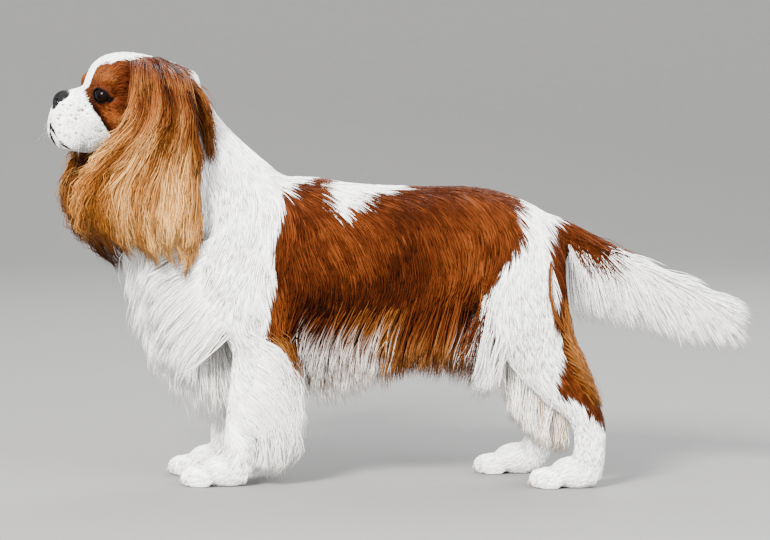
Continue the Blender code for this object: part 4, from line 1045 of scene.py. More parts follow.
def eye_material():
    """A dark wet eye: brown iris round a black pupil, from the mesh's own rings."""
    material, tree, shader = node_material("eye")
    fibres = texture(tree, "ShaderNodeTexNoise", 700, Detail=3.0)
    tone = tinted(tree, mesh_colour(tree), fibres.outputs["Fac"], 0.6, 1.4)
    tree.links.new(tone, shader.inputs["Base Color"])
    shader.inputs["Roughness"].default_value = 0.05
    shader.inputs["Specular IOR Level"].default_value = 0.045
    return material


def nose_material():
    """Black nose leather with its fine cells, a little wet."""
    material, tree, shader = node_material("nose_leather")
    cells = texture(tree, "ShaderNodeTexVoronoi", 1100, Randomness=0.9)
    two_tone(tree, shader, cells.outputs["Distance"], (0.0060, 0.0056, 0.0062), (0.0020, 0.0020, 0.0024))
    add_bump(tree, shader, cells.outputs["Distance"], 0.35, 0.0003)
    shader.inputs["Roughness"].default_value = 0.30
    shader.inputs["Specular IOR Level"].default_value = 0.12
    return material


def claw_material():
    material, tree, shader = node_material("claw_horn")
    bands = texture(tree, "ShaderNodeTexNoise", 400, Detail=2.0)
    two_tone(tree, shader, bands.outputs["Fac"], (0.20, 0.14, 0.10), (0.48, 0.38, 0.30))
    add_bump(tree, shader, bands.outputs["Fac"], 0.2, 0.0002)
    shader.inputs["Roughness"].default_value = 0.35
    return material


def floor_material():
    material, tree, shader = node_material("floor")
    grain = texture(tree, "ShaderNodeTexNoise", 60, Detail=4.0)
    two_tone(tree, shader, grain.outputs["Fac"], (0.142, 0.140, 0.136), (0.156, 0.154, 0.150))
    shader.inputs["Roughness"].default_value = 0.9
    return material


def paint(mesh, colours):
    """Lays colours on a mesh's points."""
    layer = mesh.color_attributes.new("coat", "FLOAT_COLOR", "POINT")
    values = np.ones((len(mesh.vertices), 4), np.float32)
    values[:, :3] = colours
    layer.data.foreach_set("color", values.ravel())


# Skin, painted and unwrapped
LIP_DARK = np.array((0.008, 0.006, 0.006))
LID_DARK = np.array((0.0035, 0.0025, 0.0022))


def mouth_distance(points):
    """Distance from the line of the mouth."""
    head = to_head(points)
    head[:, 1] = abs(head[:, 1])
    near = np.full(len(points), 9.0)
    path = catmull(MOUTH, 25)
    for first, last in zip(path[:-1], path[1:]):
        span = last - first
        t = np.clip((head - first) @ span / (span @ span), 0, 1)
        near = np.minimum(near, np.linalg.norm(head - first - t[:, None] * span, axis=1))
    return near


def skin_colours(points):
    brown = chestnut(points)
    ear = on_ear(points).astype(float)
    brown = np.maximum(brown, ear)
    on_face = (points[:, 2] > 0.33) & (to_head(points)[:, 0] > -0.05)
    tone = 0.5 * ripple(points, 0.01, 8) - 0.15 + face_tone(points) * on_face
    gold = ear * smooth(0.0, -0.030, to_head(points)[:, 2])
    shade = coat_colour(brown, gold, tone, np.full(len(points), 0.85), np.zeros(len(points)))
    spots = freckles(points) * (1 - brown)
    shade = shade + (FRECKLE - shade) * spots[:, None]
    wide = np.interp(to_head(points)[:, 0], [0.07, 0.095], [0.0, 0.0022])
    lip = 1 - smooth(0.0014, 0.0028, mouth_distance(points) - wide + 0.0006 * ripple(points, 0.004, 9))
    shade = shade + (LIP_DARK - shade) * lip[:, None]
    for side in (LEFT, RIGHT):
        rim = 1 - smooth(1.16, 1.34, almond_share(points, side) + 0.05 * ripple(points, 0.004, 10))
        near = np.linalg.norm(in_eye(points, side), axis=1) < 0.017
        shade = shade + (LID_DARK - shade) * (rim * near)[:, None]
    return shade


def make_skin(material):
    mesh = skin_mesh()
    mesh.name = "skin"
    obj = add_object("skin", mesh)
    paint(mesh, skin_colours(points_of(mesh)))
    mesh.materials.clear()
    mesh.materials.append(material)
    bpy.context.view_layer.objects.active = obj
    obj.select_set(True)
    mesh.uv_layers.new(name="OFBake")
    bpy.ops.object.mode_set(mode="EDIT")
    bpy.ops.mesh.select_all(action="SELECT")
    bpy.ops.uv.smart_project(angle_limit=math.radians(66), island_margin=0.002)
    bpy.ops.object.mode_set(mode="OBJECT")
    mesh.shade_smooth()
    return obj


class Surface:
    """The skin as arrays, to set hair on."""

    def __init__(self, mesh):
        mesh.calc_loop_triangles()
        count = len(mesh.loop_triangles)
        corners, loops = np.empty(count * 3, np.int32), np.empty(count * 3, np.int32)
        mesh.loop_triangles.foreach_get("vertices", corners)
        mesh.loop_triangles.foreach_get("loops", loops)
        self.corners, self.loops = corners.reshape(-1, 3), loops.reshape(-1, 3)
        self.points, self.normals = points_of(mesh), normals_of(mesh)
        wrap = np.empty(len(mesh.loops) * 2, np.float32)
        mesh.uv_layers["OFBake"].data.foreach_get("uv", wrap)
        self.wrap = wrap.reshape(-1, 2)
        self.tree = BVHTree.FromPolygons(self.points.tolist(), self.corners.tolist())
        a, b, c = (self.points[self.corners[:, k]] for k in range(3))
        self.areas = np.linalg.norm(np.cross(b - a, c - a), axis=1) / 2
        self.middles = (a + b + c) / 3

    def scatter(self, density, rng):
        """Random roots at so many to each square metre: places, normals and places on the unwrap."""
        wanted = density * self.areas
        chosen = np.repeat(np.arange(len(wanted)), rng.poisson(wanted))
        first, second = np.sqrt(rng.random(len(chosen))), rng.random(len(chosen))
        shares = np.column_stack([1 - first, first * (1 - second), first * second])
        corners, loops = self.corners[chosen], self.loops[chosen]
        picked = (self.points[corners], self.normals[corners], self.wrap[loops])
        places, normals, wrap = ((values * shares[..., None]).sum(1) for values in picked)
        return places, unit(normals), wrap

    def nearest(self, points):
        """The closest places on the skin and the normals there."""
        found = [self.tree.find_nearest(point) for point in points.tolist()]
        places = np.array([tuple(hit[0]) for hit in found])
        return places, np.array([tuple(hit[1]) for hit in found])


def bare(points):
    """Roots that no hair grows from: the eyes, the nose and the lips."""
    off = np.zeros(len(points), bool)
    for centre, sizes in ((NOSE_CENTRE, NOSE_SIZES), NOSE_BASE):
        off |= np.linalg.norm((to_head(points) - np.array(centre)) / (np.array(sizes) * 1.10), axis=1) < 1
    off |= mouth_distance(points) < np.interp(to_head(points)[:, 0], [0.07, 0.10], [0.0017, 0.0030])
    off |= points[:, 2] < 0.0012
    for side in (LEFT, RIGHT):
        local = in_eye(points, side)
        off |= (almond_share(points, side) < 1.22) & (np.linalg.norm(local, axis=1) < 0.016)
    return off


def grow(skin, roots, normals, lengths, hang, rng):
    """Paths of hair from roots along the lie of the coat: over the skin, or hanging from it."""
    count = len(roots)
    paths = np.empty((count, STEPS + 1, 3))
    ups = np.empty((count, STEPS + 1, 3))
    paths[:, 0] = roots - normals * 0.0004
    ups[:, 0] = normals
    depth = np.clip(0.075 * lengths, 0.0005, 0.0028) * rng.uniform(0.35, 1.1, count)
    fall, _, _, _ = lie(roots)
    twist = 0.16 * ripple(roots, 0.030, 51)[:, None]
    here, up = roots, normals
    for step in range(STEPS):
        t = (step + 1) / STEPS
        flow = lie(here)[0]
        flow = flow + twist * np.cross(up, flow)
        flat = unit(flow - up * (flow * up).sum(1)[:, None])
        free = (hang * t**0.7)[:, None]
        heading = unit(flat * (1 - free) + unit(flow + fall) * free)
        after = here + heading * (lengths / STEPS)[:, None]
        place, surface_up = skin.nearest(after)
        height = ((after - place) * surface_up).sum(1)
        target = depth * min(1.0, 1.9 * t) * (1.0 - 0.25 * t)
        kept = np.where(height > target, height * hang + target * (1 - hang), target)
        hanging = ((hang > 0.45) & (height > target))[:, None]
        after = np.where(hanging, after, place + surface_up * kept[:, None])
        up = unit(up * hang[:, None] + surface_up * (1 - hang)[:, None] + 1e-6)
        paths[:, step + 1], ups[:, step + 1] = after, up
        here = after
    return paths, ups


def clumped(paths, reach, pull, rng):
    """Draws the tips of the strands together into locks: new paths and each strand's lock."""
    count = len(paths)
    picked = rng.permutation(count)[: max(1, int(count / reach))]
    tree = KDTree(len(picked))
    for place, index in enumerate(picked):
        tree.insert(paths[index, 2], place)
    tree.balance()
    lock = np.array([tree.find(point)[1] for point in paths[:, 2].tolist()])
    guide = paths[picked[lock]]
    t = np.linspace(0, 1, STEPS + 1)[None, :, None]
    offset = paths[:, :1] - guide[:, :1]
    bundle = guide + offset * (1 - 0.75 * t)
    strength = (pull * rng.uniform(0.5, 1.0, count))[:, None, None] * t**1.3
    return paths + (bundle - paths) * strength, lock


def waved(paths, ups, lengths, lock, size, rng, wave=0.034):
    """Gives strands the waves of silky hair, shared within a lock."""
    t = np.linspace(0, 1, STEPS + 1)[None, :]
    tangents = unit(np.gradient(paths, axis=1))
    sideways = unit(np.cross(tangents, ups))
    phase = rng.uniform(0, 2 * math.pi, lock.max() + 1)[lock] + rng.normal(0, 0.5, len(lock))
    pace = rng.uniform(0.8, 1.2, lock.max() + 1)[lock] * 2 * math.pi / wave
    turn = pace[:, None] * lengths[:, None] * t + phase[:, None]
    swing = np.broadcast_to(size, len(lengths))[:, None] * lengths[:, None] * t**1.2
    paths = paths + sideways * (np.sin(turn) * swing)[..., None]
    return paths + ups * (np.cos(turn) * swing * 0.35)[..., None]


TAPER = {2: (0.85, 1.0), 3: (0.75, 1.0, 0.72), 5: (0.7, 1.0, 0.95, 0.78, 0.5)}
TAPER_AT = {2: (0.0, 0.5), 3: (0.0, 0.36, 0.72), 5: (0.0, 0.2, 0.42, 0.64, 0.84)}
PATCH = 0.003


def strand_arrays(paths, ups, widths, wrap, colour, rings):
    """Closed three-sided strands along paths: points, triangles, unwrap and colours."""
    count = len(paths)
    places = np.array((*TAPER_AT[rings], 1.0)) * STEPS
    low = np.minimum(places.astype(int), STEPS - 1)
    share = (places - low)[None, :, None]
    line = paths[:, low] * (1 - share) + paths[:, low + 1] * share
    up = unit(ups[:, low] * (1 - share) + ups[:, low + 1] * share)
    tangent = unit(np.gradient(line, axis=1))
    sideways = unit(np.cross(tangent, up))
    over = np.cross(sideways, tangent)
    half = (widths[:, None] * np.array(TAPER[rings])[None] / 2)[..., None]
    line, sideways, over = line[:, :rings], sideways[:, :rings], over[:, :rings]
    tips = paths[:, -1]
    ridge = 0.5 if rings == 2 else 0.8
    corners = np.stack([line - sideways * half, line + sideways * half, line + over * half * ridge], axis=2)
    points = np.concatenate([corners.reshape(count, -1, 3), tips[:, None]], axis=1)
    size = rings * 3 + 1
    faces = [(0, 2, 1)]
    for ring in range(rings - 1):
        for side in range(3):
            a, b = ring * 3 + side, ring * 3 + (side + 1) % 3
            faces += [(a, b, b + 3), (a, b + 3, a + 3)]
    last = (rings - 1) * 3
    faces += [(last + side, last + (side + 1) % 3, size - 1) for side in range(3)]
    faces = np.array(faces)
    triangles = (faces[None] + (np.arange(count) * size)[:, None, None]).reshape(-1, 3)
    along = np.concatenate([np.repeat(np.array(TAPER_AT[rings]), 3), [1.0]])
    spread = np.concatenate([np.tile((-0.5, 0.5, 0.0), rings), [0.0]]) * PATCH
    patch = wrap[:, None] + np.stack([spread, (along - 0.5) * PATCH], axis=-1)[None]
    shades = colour(along[None, :])
    return points.reshape(-1, 3), triangles, patch.reshape(-1, 2), shades.reshape(-1, 3)


def coat_mesh(name, arrays):
    """One mesh of many strands."""
    mesh = bpy.data.meshes.new(name)
    starts = np.cumsum([0] + [len(part[0]) for part in arrays])
    points = np.concatenate([part[0] for part in arrays]).astype(np.float32)
    triangles = np.concatenate([part[1] + start for part, start in zip(arrays, starts)])
    wrap = np.concatenate([part[2] for part in arrays]).astype(np.float32)
    shades = np.concatenate([part[3] for part in arrays])
    mesh.vertices.add(len(points))
    mesh.vertices.foreach_set("co", points.ravel())
    mesh.loops.add(triangles.size)
    mesh.loops.foreach_set("vertex_index", triangles.astype(np.int32).ravel())
    mesh.polygons.add(len(triangles))
    mesh.polygons.foreach_set("loop_start", np.arange(0, triangles.size, 3, dtype=np.int32))
    mesh.update(calc_edges=True)
    layer = mesh.uv_layers.new(name="OFBake")
    layer.data.foreach_set("uv", wrap[triangles.ravel()].ravel())
    paint(mesh, shades)
    mesh.shade_smooth()
    return mesh


def rings_for(lengths):
    return np.where(lengths < 0.027, 2, np.where(lengths < 0.045, 3, 5))


def turned(values, along):
    """One value for each strand, or a value at its root and one at its tip, read along it."""
    if values.ndim == 1:
        return np.broadcast_to(values[:, None], along.shape)
    return values[:, :1] + (values[:, 1:] - values[:, :1]) * smooth(0.50, 0.98, along)


class Strands:
    """Grown strands with what their colour needs."""

    def __init__(self, paths, ups, widths, wrap, brown, gold, tone, cream, lengths):
        self.values = [paths, ups, widths, wrap, brown, gold, tone, cream, rings_for(lengths)]

    def pieces(self, name, material, slot_name):
        """Adds the strands as pieces that each stay under the limit of triangles."""
        rings = self.values[-1]
        triangles = int((6 * rings - 2).sum())
        parts = max(1, math.ceil(triangles / MOST_TRIANGLES))
        share = np.arange(len(rings)) % parts
        for part in range(parts):
            arrays = []
            for kind in (2, 3, 5):
                pick = (rings == kind) & (share == part)
                if not pick.any():
                    continue
                values = [value[pick] for value in self.values[:-1]]

                def colour(along, traits=values[4:]):
                    at = np.broadcast_to(along, (len(traits[0]), along.shape[1]))
                    brown, gold, tone, cream = (turned(trait, at) for trait in traits)
                    return coat_colour(brown, gold, tone, at, cream * at)

                arrays.append(strand_arrays(*values[:4], colour, kind))
            suffix = f"_{part + 1}" if parts > 1 else ""
            mesh = coat_mesh("coat_" + name + suffix, arrays)
            mesh.materials.append(material)
            obj = add_object(mesh.name, mesh)
            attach(obj, "root")


# Painted highlights and painted shade on the flank, as broad light and dark fields: x, z, size, how light
FLANK_HIGHLIGHT_AND_SHADE = [
    (-0.078, 0.183, 0.022, -1.5),
    (-0.035, 0.195, 0.028, -0.8),
    (-0.122, 0.185, 0.012, 0.9),
    (-0.050, 0.252, 0.024, 0.55),
    (0.010, 0.235, 0.024, -0.35),
    (0.030, 0.152, 0.026, 0.55),
    (0.085, 0.215, 0.020, 0.35),
]


def tones(points, lock, rng, wide=0.35):
    """Light and dark among strands: broad fields of painted highlight and painted shade on the flank, locks
    and single hairs.
    """
    locks = rng.normal(0, 0.22, lock.max() + 1)[lock]
    # the broad fields are painted highlights and painted shade on the flank
    fields = fields_at(points[:, 0], points[:, 2], FLANK_HIGHLIGHT_AND_SHADE)
    return wide * ripple(points, 0.055, 61) + fields + locks + rng.normal(0, 0.24, len(points))


SLOT_OF = {"torso": "coat_chestnut"}


def body_coat(skin, material):
    """The coat on all the skin but the ears."""
    rng = np.random.default_rng(101)
    _, lengths, _, _ = lie(skin.middles)
    width = np.interp(lengths, STRAND[:, 0], STRAND[:, 1])
    cover = np.interp(lengths, STRAND[:, 0], STRAND[:, 2])
    density = cover / (lengths * width)
    density = np.where(bare(skin.middles) | on_ear(skin.middles), 0, density)
    roots, normals, wrap = skin.scatter(density, rng)
    keep = ~bare(roots)
    roots, normals, wrap = roots[keep], normals[keep], wrap[keep]
    _, lengths, hang, nearest = lie(roots)
    pieces = ANCHOR_PIECE[nearest]
    lengths = lengths * rng.uniform(0.78, 1.15, len(roots))
    for index, name in enumerate(PIECE_NAMES):
        pick = pieces == index
        if not pick.any():
            continue
        here, up, size, loose = roots[pick], normals[pick], lengths[pick], hang[pick]
        brown = (chestnut(here) > rng.uniform(0.25, 0.75, len(here))).astype(float)
        spotted = (freckles(here) > 0.45) & (brown < 0.5)
        brown = np.maximum(brown, 0.95 * spotted)
        size = np.where(spotted, 0.0022, size)
        paths, ups = grow(skin, here, up, size, loose, rng)
        long_hair = smooth(0.02, 0.06, size)
        paths, lock = clumped(paths, 9 if name == "head" else 12, 0.12 + 0.42 * long_hair, rng)
        paths = waved(paths, ups, size, lock, 0.010 + 0.024 * long_hair, rng)
        paths = above_floor(paths)
        widths = np.interp(size, STRAND[:, 0], STRAND[:, 1]) * rng.uniform(0.8, 1.2, len(here))
        tone = tones(here, lock, rng)
        gold = np.zeros(len(here))
        if name == "head":
            face = face_tone(here)
            tone, gold = tone + face, np.clip(0.35 * face, 0, 0.4)
        tone = np.where(spotted, -0.7, tone)
        cream = long_hair * np.clip(0.35 + 0.5 * ripple(here, 0.05, 71), 0, 1)
        strands = Strands(paths, ups, widths, wrap[pick], brown, gold, tone, cream, size)
        strands.pieces(name, material, SLOT_OF.get(name, "coat_white"))


def above_floor(paths, low=0.0012):
    paths[..., 2] = np.maximum(paths[..., 2], low)
    return paths


# Lower edge of each ear's coat, from its front to its back
EAR_END_LEFT = (-0.146, -0.160, -0.172, -0.188, -0.193, -0.187)
EAR_END_RIGHT = (-0.182, -0.191, -0.195, -0.194, -0.190, -0.184)
EAR_STRANDS = 3900
EAR_INNER_STRANDS = 450


def ear_coat(skin, side, material):
    """The long coat of one ear: strands down its outer face and over its edges, and fewer inside."""
    rng = np.random.default_rng(300 + side)
    count = EAR_STRANDS + EAR_INNER_STRANDS
    inner = np.arange(count) >= EAR_STRANDS
    root_up = 0.038 - 0.090 * rng.random(count) ** 1.15
    leather = np.array(LEATHER[::-1])
    first = np.interp(root_up, leather[:, 0], leather[:, 1])
    last = np.interp(root_up, leather[:, 0], leather[:, 2])
    root_share = first + (last - first) * rng.uniform(0.02, 0.98, count)
    low = (0.037 - root_up) / 0.089
    reach = np.where(low < 0.35, rng.uniform(0.060, 0.110, count), rng.uniform(0.095, 0.160, count))
    edge = EAR_END_RIGHT if side == RIGHT else EAR_END_LEFT
    end = np.interp(root_share, np.linspace(0, 1, len(edge)), edge) + 0.020 * rng.random(count) ** 2
    end = end + 0.006 * ripple(np.column_stack([root_share * 0.1, root_share * 0, root_up * 0.1]), 0.013, 82)
    tip_up = np.maximum(root_up - reach, end)
    spread = 0.5 + (root_share - 0.5) / np.maximum(last - first, 0.4) * np.interp(low, [0, 1], [0.98, 1.0])
    tip_share = np.clip(spread + rng.normal(0, 0.02, count), -0.09 if side == RIGHT else 0.0, 1.0)
    tip_share = tip_share - (0.09 * (1 - tip_share) * low if side == RIGHT else 0.0)
    t = np.linspace(0, 1, STEPS + 1)[None, :]
    up = root_up[:, None] + (tip_up - root_up)[:, None] * t
    share = root_share[:, None] + (tip_share - root_share)[:, None] * t**0.75
    layer = 0.0005 + 0.0125 * (1 - low) * rng.uniform(0.25, 1.0, count) + rng.uniform(0, 0.0035, count)
    layer = np.where(inner, -0.003 - rng.uniform(0, 0.006, count), layer)
    rise = layer[:, None] * np.sin(np.minimum(t * 2.2, 1) * math.pi / 2)
    out = np.where(t == 0, np.where(inner, -0.0012, 0.0008)[:, None], rise)
    out = out - 0.003 * t**3 * np.where(inner, -1, 1)[:, None]
    paths = to_model(ear_points(up, share, out, side).reshape(-1, 3)).reshape(count, STEPS + 1, 3)
    beyond = to_model(ear_points(up, share, out + 0.01, side).reshape(-1, 3)).reshape(count, STEPS + 1, 3)
    ups = unit(beyond - paths)
    ups[inner] *= -1
    lengths = np.linalg.norm(np.diff(paths, axis=1), axis=2).sum(1)
    paths, lock = clumped(paths, 24, np.full(count, 0.72), rng)
    frizz = 0.042 + 0.030 * (1 - smooth(0.15, 0.40, root_share))
    paths = waved(paths, ups, lengths, lock, frizz, rng, 0.070)
    roots = paths[:, 0]
    streak = 0.80 * ripple(np.column_stack([tip_share * 0.10, root_share * 0.02, up[:, 3] * 0.10]), 0.014, 81)
    tone = 0.22 + 1.1 * streak + rng.normal(0, 0.34, lock.max() + 1)[lock] + rng.normal(0, 0.30, count)
    deep = smooth(-0.07, -0.13, tip_up)
    tone = tone + deep * (0.85 * smooth(0.50, 0.75, tip_share) - 0.75 * (1 - smooth(0.25, 0.50, tip_share)))
    # painted shade: the inner strands are darker, and the far right ear's lowest tips are darker
    tone = tone - 0.5 * inner - (0.75 if side == RIGHT else 0.0) * smooth(-0.13, -0.17, tip_up)
    tone = tone - 0.7 * np.exp(-(((tip_share - 0.50) / 0.035) ** 2)) * smooth(0.02, -0.03, root_up)
    crown = smooth(-0.012, 0.018, root_up + 0.010 * (root_share - 0.3) + rng.normal(0, 0.007, count))
    front = np.maximum(smooth(0.10, 0.35, root_share), smooth(0.004, 0.018, root_up))
    gold = np.column_stack([1 - 0.97 * crown * front, 1 - 0.40 * crown * front])
    # painted shade: the far right ear gets half the gold
    gold = gold * (1 - 0.5 * smooth(0.86, 0.97, tip_share))[:, None] * (1 - 0.5 * (side == RIGHT))
    wrap = skin_wrap(skin, roots)
    widths = rng.uniform(0.0009, 0.0014, count)
    strands = Strands(paths, ups, widths, wrap, np.ones(count), gold, tone, np.zeros(count), lengths)
    strands.pieces("ear_" + SIDE_NAME[side], material, "coat_golden")


def ear_crown(skin, side, material):
    """Chestnut hair from the skull over the root of an ear."""
    rng = np.random.default_rng(560 + side)
    count = 620
    u = rng.random(count)
    aside = 0.024 + 0.006 * rng.random(count)
    start = np.column_stack([0.024 - 0.052 * u, aside, 0.050 - 0.010 * abs(u - 0.4)])
    roots = start * np.array((1, -side, 1)) + rng.normal(0, 0.002, start.shape)
    up = 0.010 - 0.036 * rng.random(count) ** 1.2 - 0.010 * u
    share = np.clip(0.06 + 0.90 * u + rng.normal(0, 0.03, count), 0.02, 0.99)
    tips = ear_points(up, share, rng.uniform(0.006, 0.0125, count), side)
    headings = np.column_stack([np.full(count, -0.10), np.full(count, -side * 0.15), np.full(count, -1.0)])
    paths, ups = hung(skin, to_model(roots), to_model(tips), headings @ HEAD_PLACE[:3, :3].T, 0.003)
    gold = np.column_stack([np.full(count, 0.0), rng.uniform(0.0, 0.55, count)])
    ones = np.ones(count)
    add_sheet(
        "ear_crown_" + SIDE_NAME[side], skin, paths, ups, ones, gold, ones * 0, material, rng,
        bundle=14, swing=0.02, light=0.1, slot="coat_golden",
    )


def skin_wrap(skin, points):
    """Where points' nearest places on the skin lie on its unwrap."""
    found = [skin.tree.find_nearest(point)[2] for point in points.tolist()]
    return skin.wrap[skin.loops[np.array(found), 0]].astype(float)


# Long coat
# Front of the chest: height of the roots, their spread sideways, x and z of the tips
APRON = [
    (0.292, 0.036, -0.2830, 0.228),
    (0.275, 0.038, -0.2885, 0.198),
    (0.250, 0.040, -0.2880, 0.170),
    (0.225, 0.040, -0.2790, 0.142),
    (0.198, 0.036, -0.2680, 0.114),
    (0.172, 0.028, -0.2490, 0.081),
    (0.154, 0.020, -0.2180, 0.062),
    (0.148, 0.018, -0.2020, 0.055),
]
# Side of the chest: x and z of the roots, x and z of the tips, for a front and a rear column
APRON_SIDE = [
    (-0.216, 0.275, -0.276, 0.204, -0.200, 0.255, -0.250, 0.178),
    (-0.212, 0.236, -0.262, 0.154, -0.192, 0.222, -0.234, 0.140),
    (-0.205, 0.204, -0.249, 0.120, -0.186, 0.192, -0.220, 0.108),
    (-0.196, 0.176, -0.236, 0.092, -0.180, 0.168, -0.206, 0.084),
]
# Lower edge of the belly's fringe: x, z
FRINGE = [
    (-0.108, 0.090), (-0.085, 0.081), (-0.055, 0.078), (-0.025, 0.085), (0.000, 0.098), (0.055, 0.102),
    (0.094, 0.087),
]
# How much of the fringe's lower edge is chestnut: x of the tips, share of them
FRINGE_BROWN = [
    (-0.116, 1.0), (-0.104, 0.1), (-0.034, 0.05), (-0.006, 0.95), (0.050, 0.97), (0.072, 0.5), (0.090, 0.1),
]
# Plume of the tail: x, then z of its upper and lower edges
PLUME = [
    (0.180, 0.262, 0.168),
    (0.230, 0.246, 0.155),
    (0.270, 0.230, 0.144),
    (0.300, 0.216, 0.136),
    (0.330, 0.203, 0.133),
    (0.357, 0.189, 0.134),
    (0.368, 0.180, 0.143),
]
# Behind a foreleg: z of the roots, x and z of the tips
FORE_FEATHER = [
    (0.156, -0.112, 0.118),
    (0.148, -0.1055, 0.090),
    (0.136, -0.1035, 0.064),
    (0.122, -0.1040, 0.040),
    (0.108, -0.1070, 0.020),
    (0.094, -0.1150, 0.008),
    (0.080, -0.1270, 0.005),
    (0.066, -0.1420, 0.005),
]
# Behind a thigh down to its hock: x and z of the roots, x and z of the tips
THIGH_FEATHER = [
    (0.178, 0.200, 0.178, 0.150),
    (0.174, 0.168, 0.188, 0.122),
    (0.176, 0.146, 0.199, 0.106),
    (0.182, 0.128, 0.2075, 0.088),
    (0.190, 0.112, 0.2110, 0.070),
]
# In front of a thigh, from the fold of the flank
FLANK_TUFT = [
    (0.092, 0.205, 0.078, 0.135),
    (0.094, 0.186, 0.076, 0.108),
    (0.100, 0.168, 0.072, 0.080),
    (0.108, 0.156, 0.086, 0.088),
    (0.116, 0.146, 0.098, 0.092),
]
# Inside a thigh
INNER_FEATHER = [
    (0.112, 0.160, 0.108, 0.088),
    (0.120, 0.150, 0.117, 0.066),
    (0.132, 0.136, 0.128, 0.046),
    (0.146, 0.124, 0.142, 0.034),
    (0.160, 0.112, 0.158, 0.027),
    (0.172, 0.104, 0.174, 0.029),
]
STANCE_REAR = 0.055
FEATHER_ROOT = -0.125


def along_rows(rows, u):
    """Rows of a table, read at places from 0 to 1 along it."""
    rows = np.asarray(rows, float)
    at = u * (len(rows) - 1)
    return [np.interp(at, np.arange(len(rows)), rows[:, k]) for k in range(rows.shape[1])]


def hung(skin, roots, tips, headings, lift, start=None):
    """Paths from the skin nearest to the roots, off it by lift, and out to the tips along their headings."""
    places, normals = skin.nearest(roots)
    reach = np.linalg.norm(tips - places, axis=1)[:, None]
    lift = np.broadcast_to(lift, len(roots))[:, None]
    away = (tips - places) * 0.2 if start is None else unit(np.array(start)) * reach * 0.36
    first = places + normals * lift + away
    second = tips - unit(headings) * reach * 0.4
    bends = [places - normals * 0.0004, first, second, tips]
    paths = np.zeros((len(roots), STEPS + 1, 3))
    for step in range(STEPS + 1):
        t = step / STEPS
        weights = ((1 - t) ** 3, 3 * t * (1 - t) ** 2, 3 * t * t * (1 - t), t**3)
        paths[:, step] = sum(bend * weight for bend, weight in zip(bends, weights))
    ups = np.repeat(unit(normals + 1e-6)[:, None], STEPS + 1, axis=1)
    return paths, ups


def add_sheet(
    name, skin, paths, ups, brown, gold, cream, material, rng,
    bundle=18, swing=0.036, pull=0.50, light=0.0, slot="coat_white", wave=0.070,
):
    """One sheet of long hair, drawn into locks and waved."""
    lengths = np.linalg.norm(np.diff(paths, axis=1), axis=2).sum(1)
    paths, lock = clumped(paths, bundle, np.full(len(paths), pull), rng)
    paths = above_floor(waved(paths, ups, lengths, lock, swing, rng, wave))
    tone = tones(paths[:, 0], lock, rng, 0.2) + light
    widths = rng.uniform(0.0007, 0.0012, len(paths))
    wrap = skin_wrap(skin, paths[:, 0])
    Strands(paths, ups, widths, wrap, brown, gold, tone, cream, lengths).pieces(name, material, slot)


def scattered(rng, count, *values):
    """Points from three values or arrays, each a little off its place by its own share."""
    return np.column_stack([value + rng.normal(0, spread, count) for value, spread in values])


def falling(rng, count, lean, freedom, sway):
    """Headings of hair that hangs, with a lean towards the tail or, below 0, the nose."""
    return scattered(rng, count, (lean, freedom), (0.0, sway), (-1.0, 0.02))


def chest_sheets(skin, material):
    rng = np.random.default_rng(401)
    count = 2900
    u, layer = rng.random(count), rng.random(count) ** 1.2
    root_z, spread, tip_x, tip_z = along_rows(APRON, u)
    y = spread * rng.uniform(-1, 1, count)
    side = abs(y) / 0.045
    root_x = np.where(layer > 0.6, -0.20, -0.30)
    roots = np.column_stack([root_x, y, root_z - 0.012 * (layer > 0.6) + rng.normal(0, 0.008, count)])
    uneven = 0.007 * ripple(np.column_stack([y, u * 0.12, layer * 0.05]), 0.022, 95)
    tips = scattered(
        rng,
        count,
        (tip_x + 0.016 * side**2 + 0.046 * layer, 0.0025),
        (y * 0.95, 0.003),
        (tip_z + 0.010 * side**2 + 0.004 * layer + uneven, 0.006),
    )
    headings = falling(rng, count, 0.05, 0.25, 0.08)
    paths, ups = hung(skin, roots, tips, headings, 0.016 * (1 - layer))
    cream = np.clip(0.15 + 0.4 * rng.random(count) * layer, 0, 1)
    zero = np.zeros(count)
    add_sheet("apron", skin, paths, ups, zero, zero, cream, material, rng, 34, 0.060, 0.75)
    for side in (LEFT, RIGHT):
        count = 1100
        u, v = rng.random(count), rng.random(count)
        x0, z0, tx0, tz0, x1, z1, tx1, tz1 = along_rows(APRON_SIDE, u)
        root_x, root_z = x0 + (x1 - x0) * v, z0 + (z1 - z0) * v
        tip_x, tip_z = tx0 + (tx1 - tx0) * v, tz0 + (tz1 - tz0) * v
        reach = (tip_z - 0.09) / 0.12
        roots = scattered(rng, count, (root_x, 0.004), (side * 0.07, 0.0), (root_z, 0.010))
        uneven = 0.008 * ripple(np.column_stack([u * 0.1, v * 0.1, u * 0]), 0.020, 96)
        tip_y = side * (0.026 + 0.020 * reach)
        tips = scattered(rng, count, (tip_x, 0.003), (tip_y, 0.003), (tip_z + uneven, 0.006))
        headings = falling(rng, count, 0.25, 0.2, 0.05)
        paths, ups = hung(skin, roots, tips, headings, 0.004)
        zero = np.zeros(count)
        name = "chest_" + SIDE_NAME[side]
        add_sheet(name, skin, paths, ups, zero, zero, zero + 0.15, material, rng, 30, 0.060, 0.70)


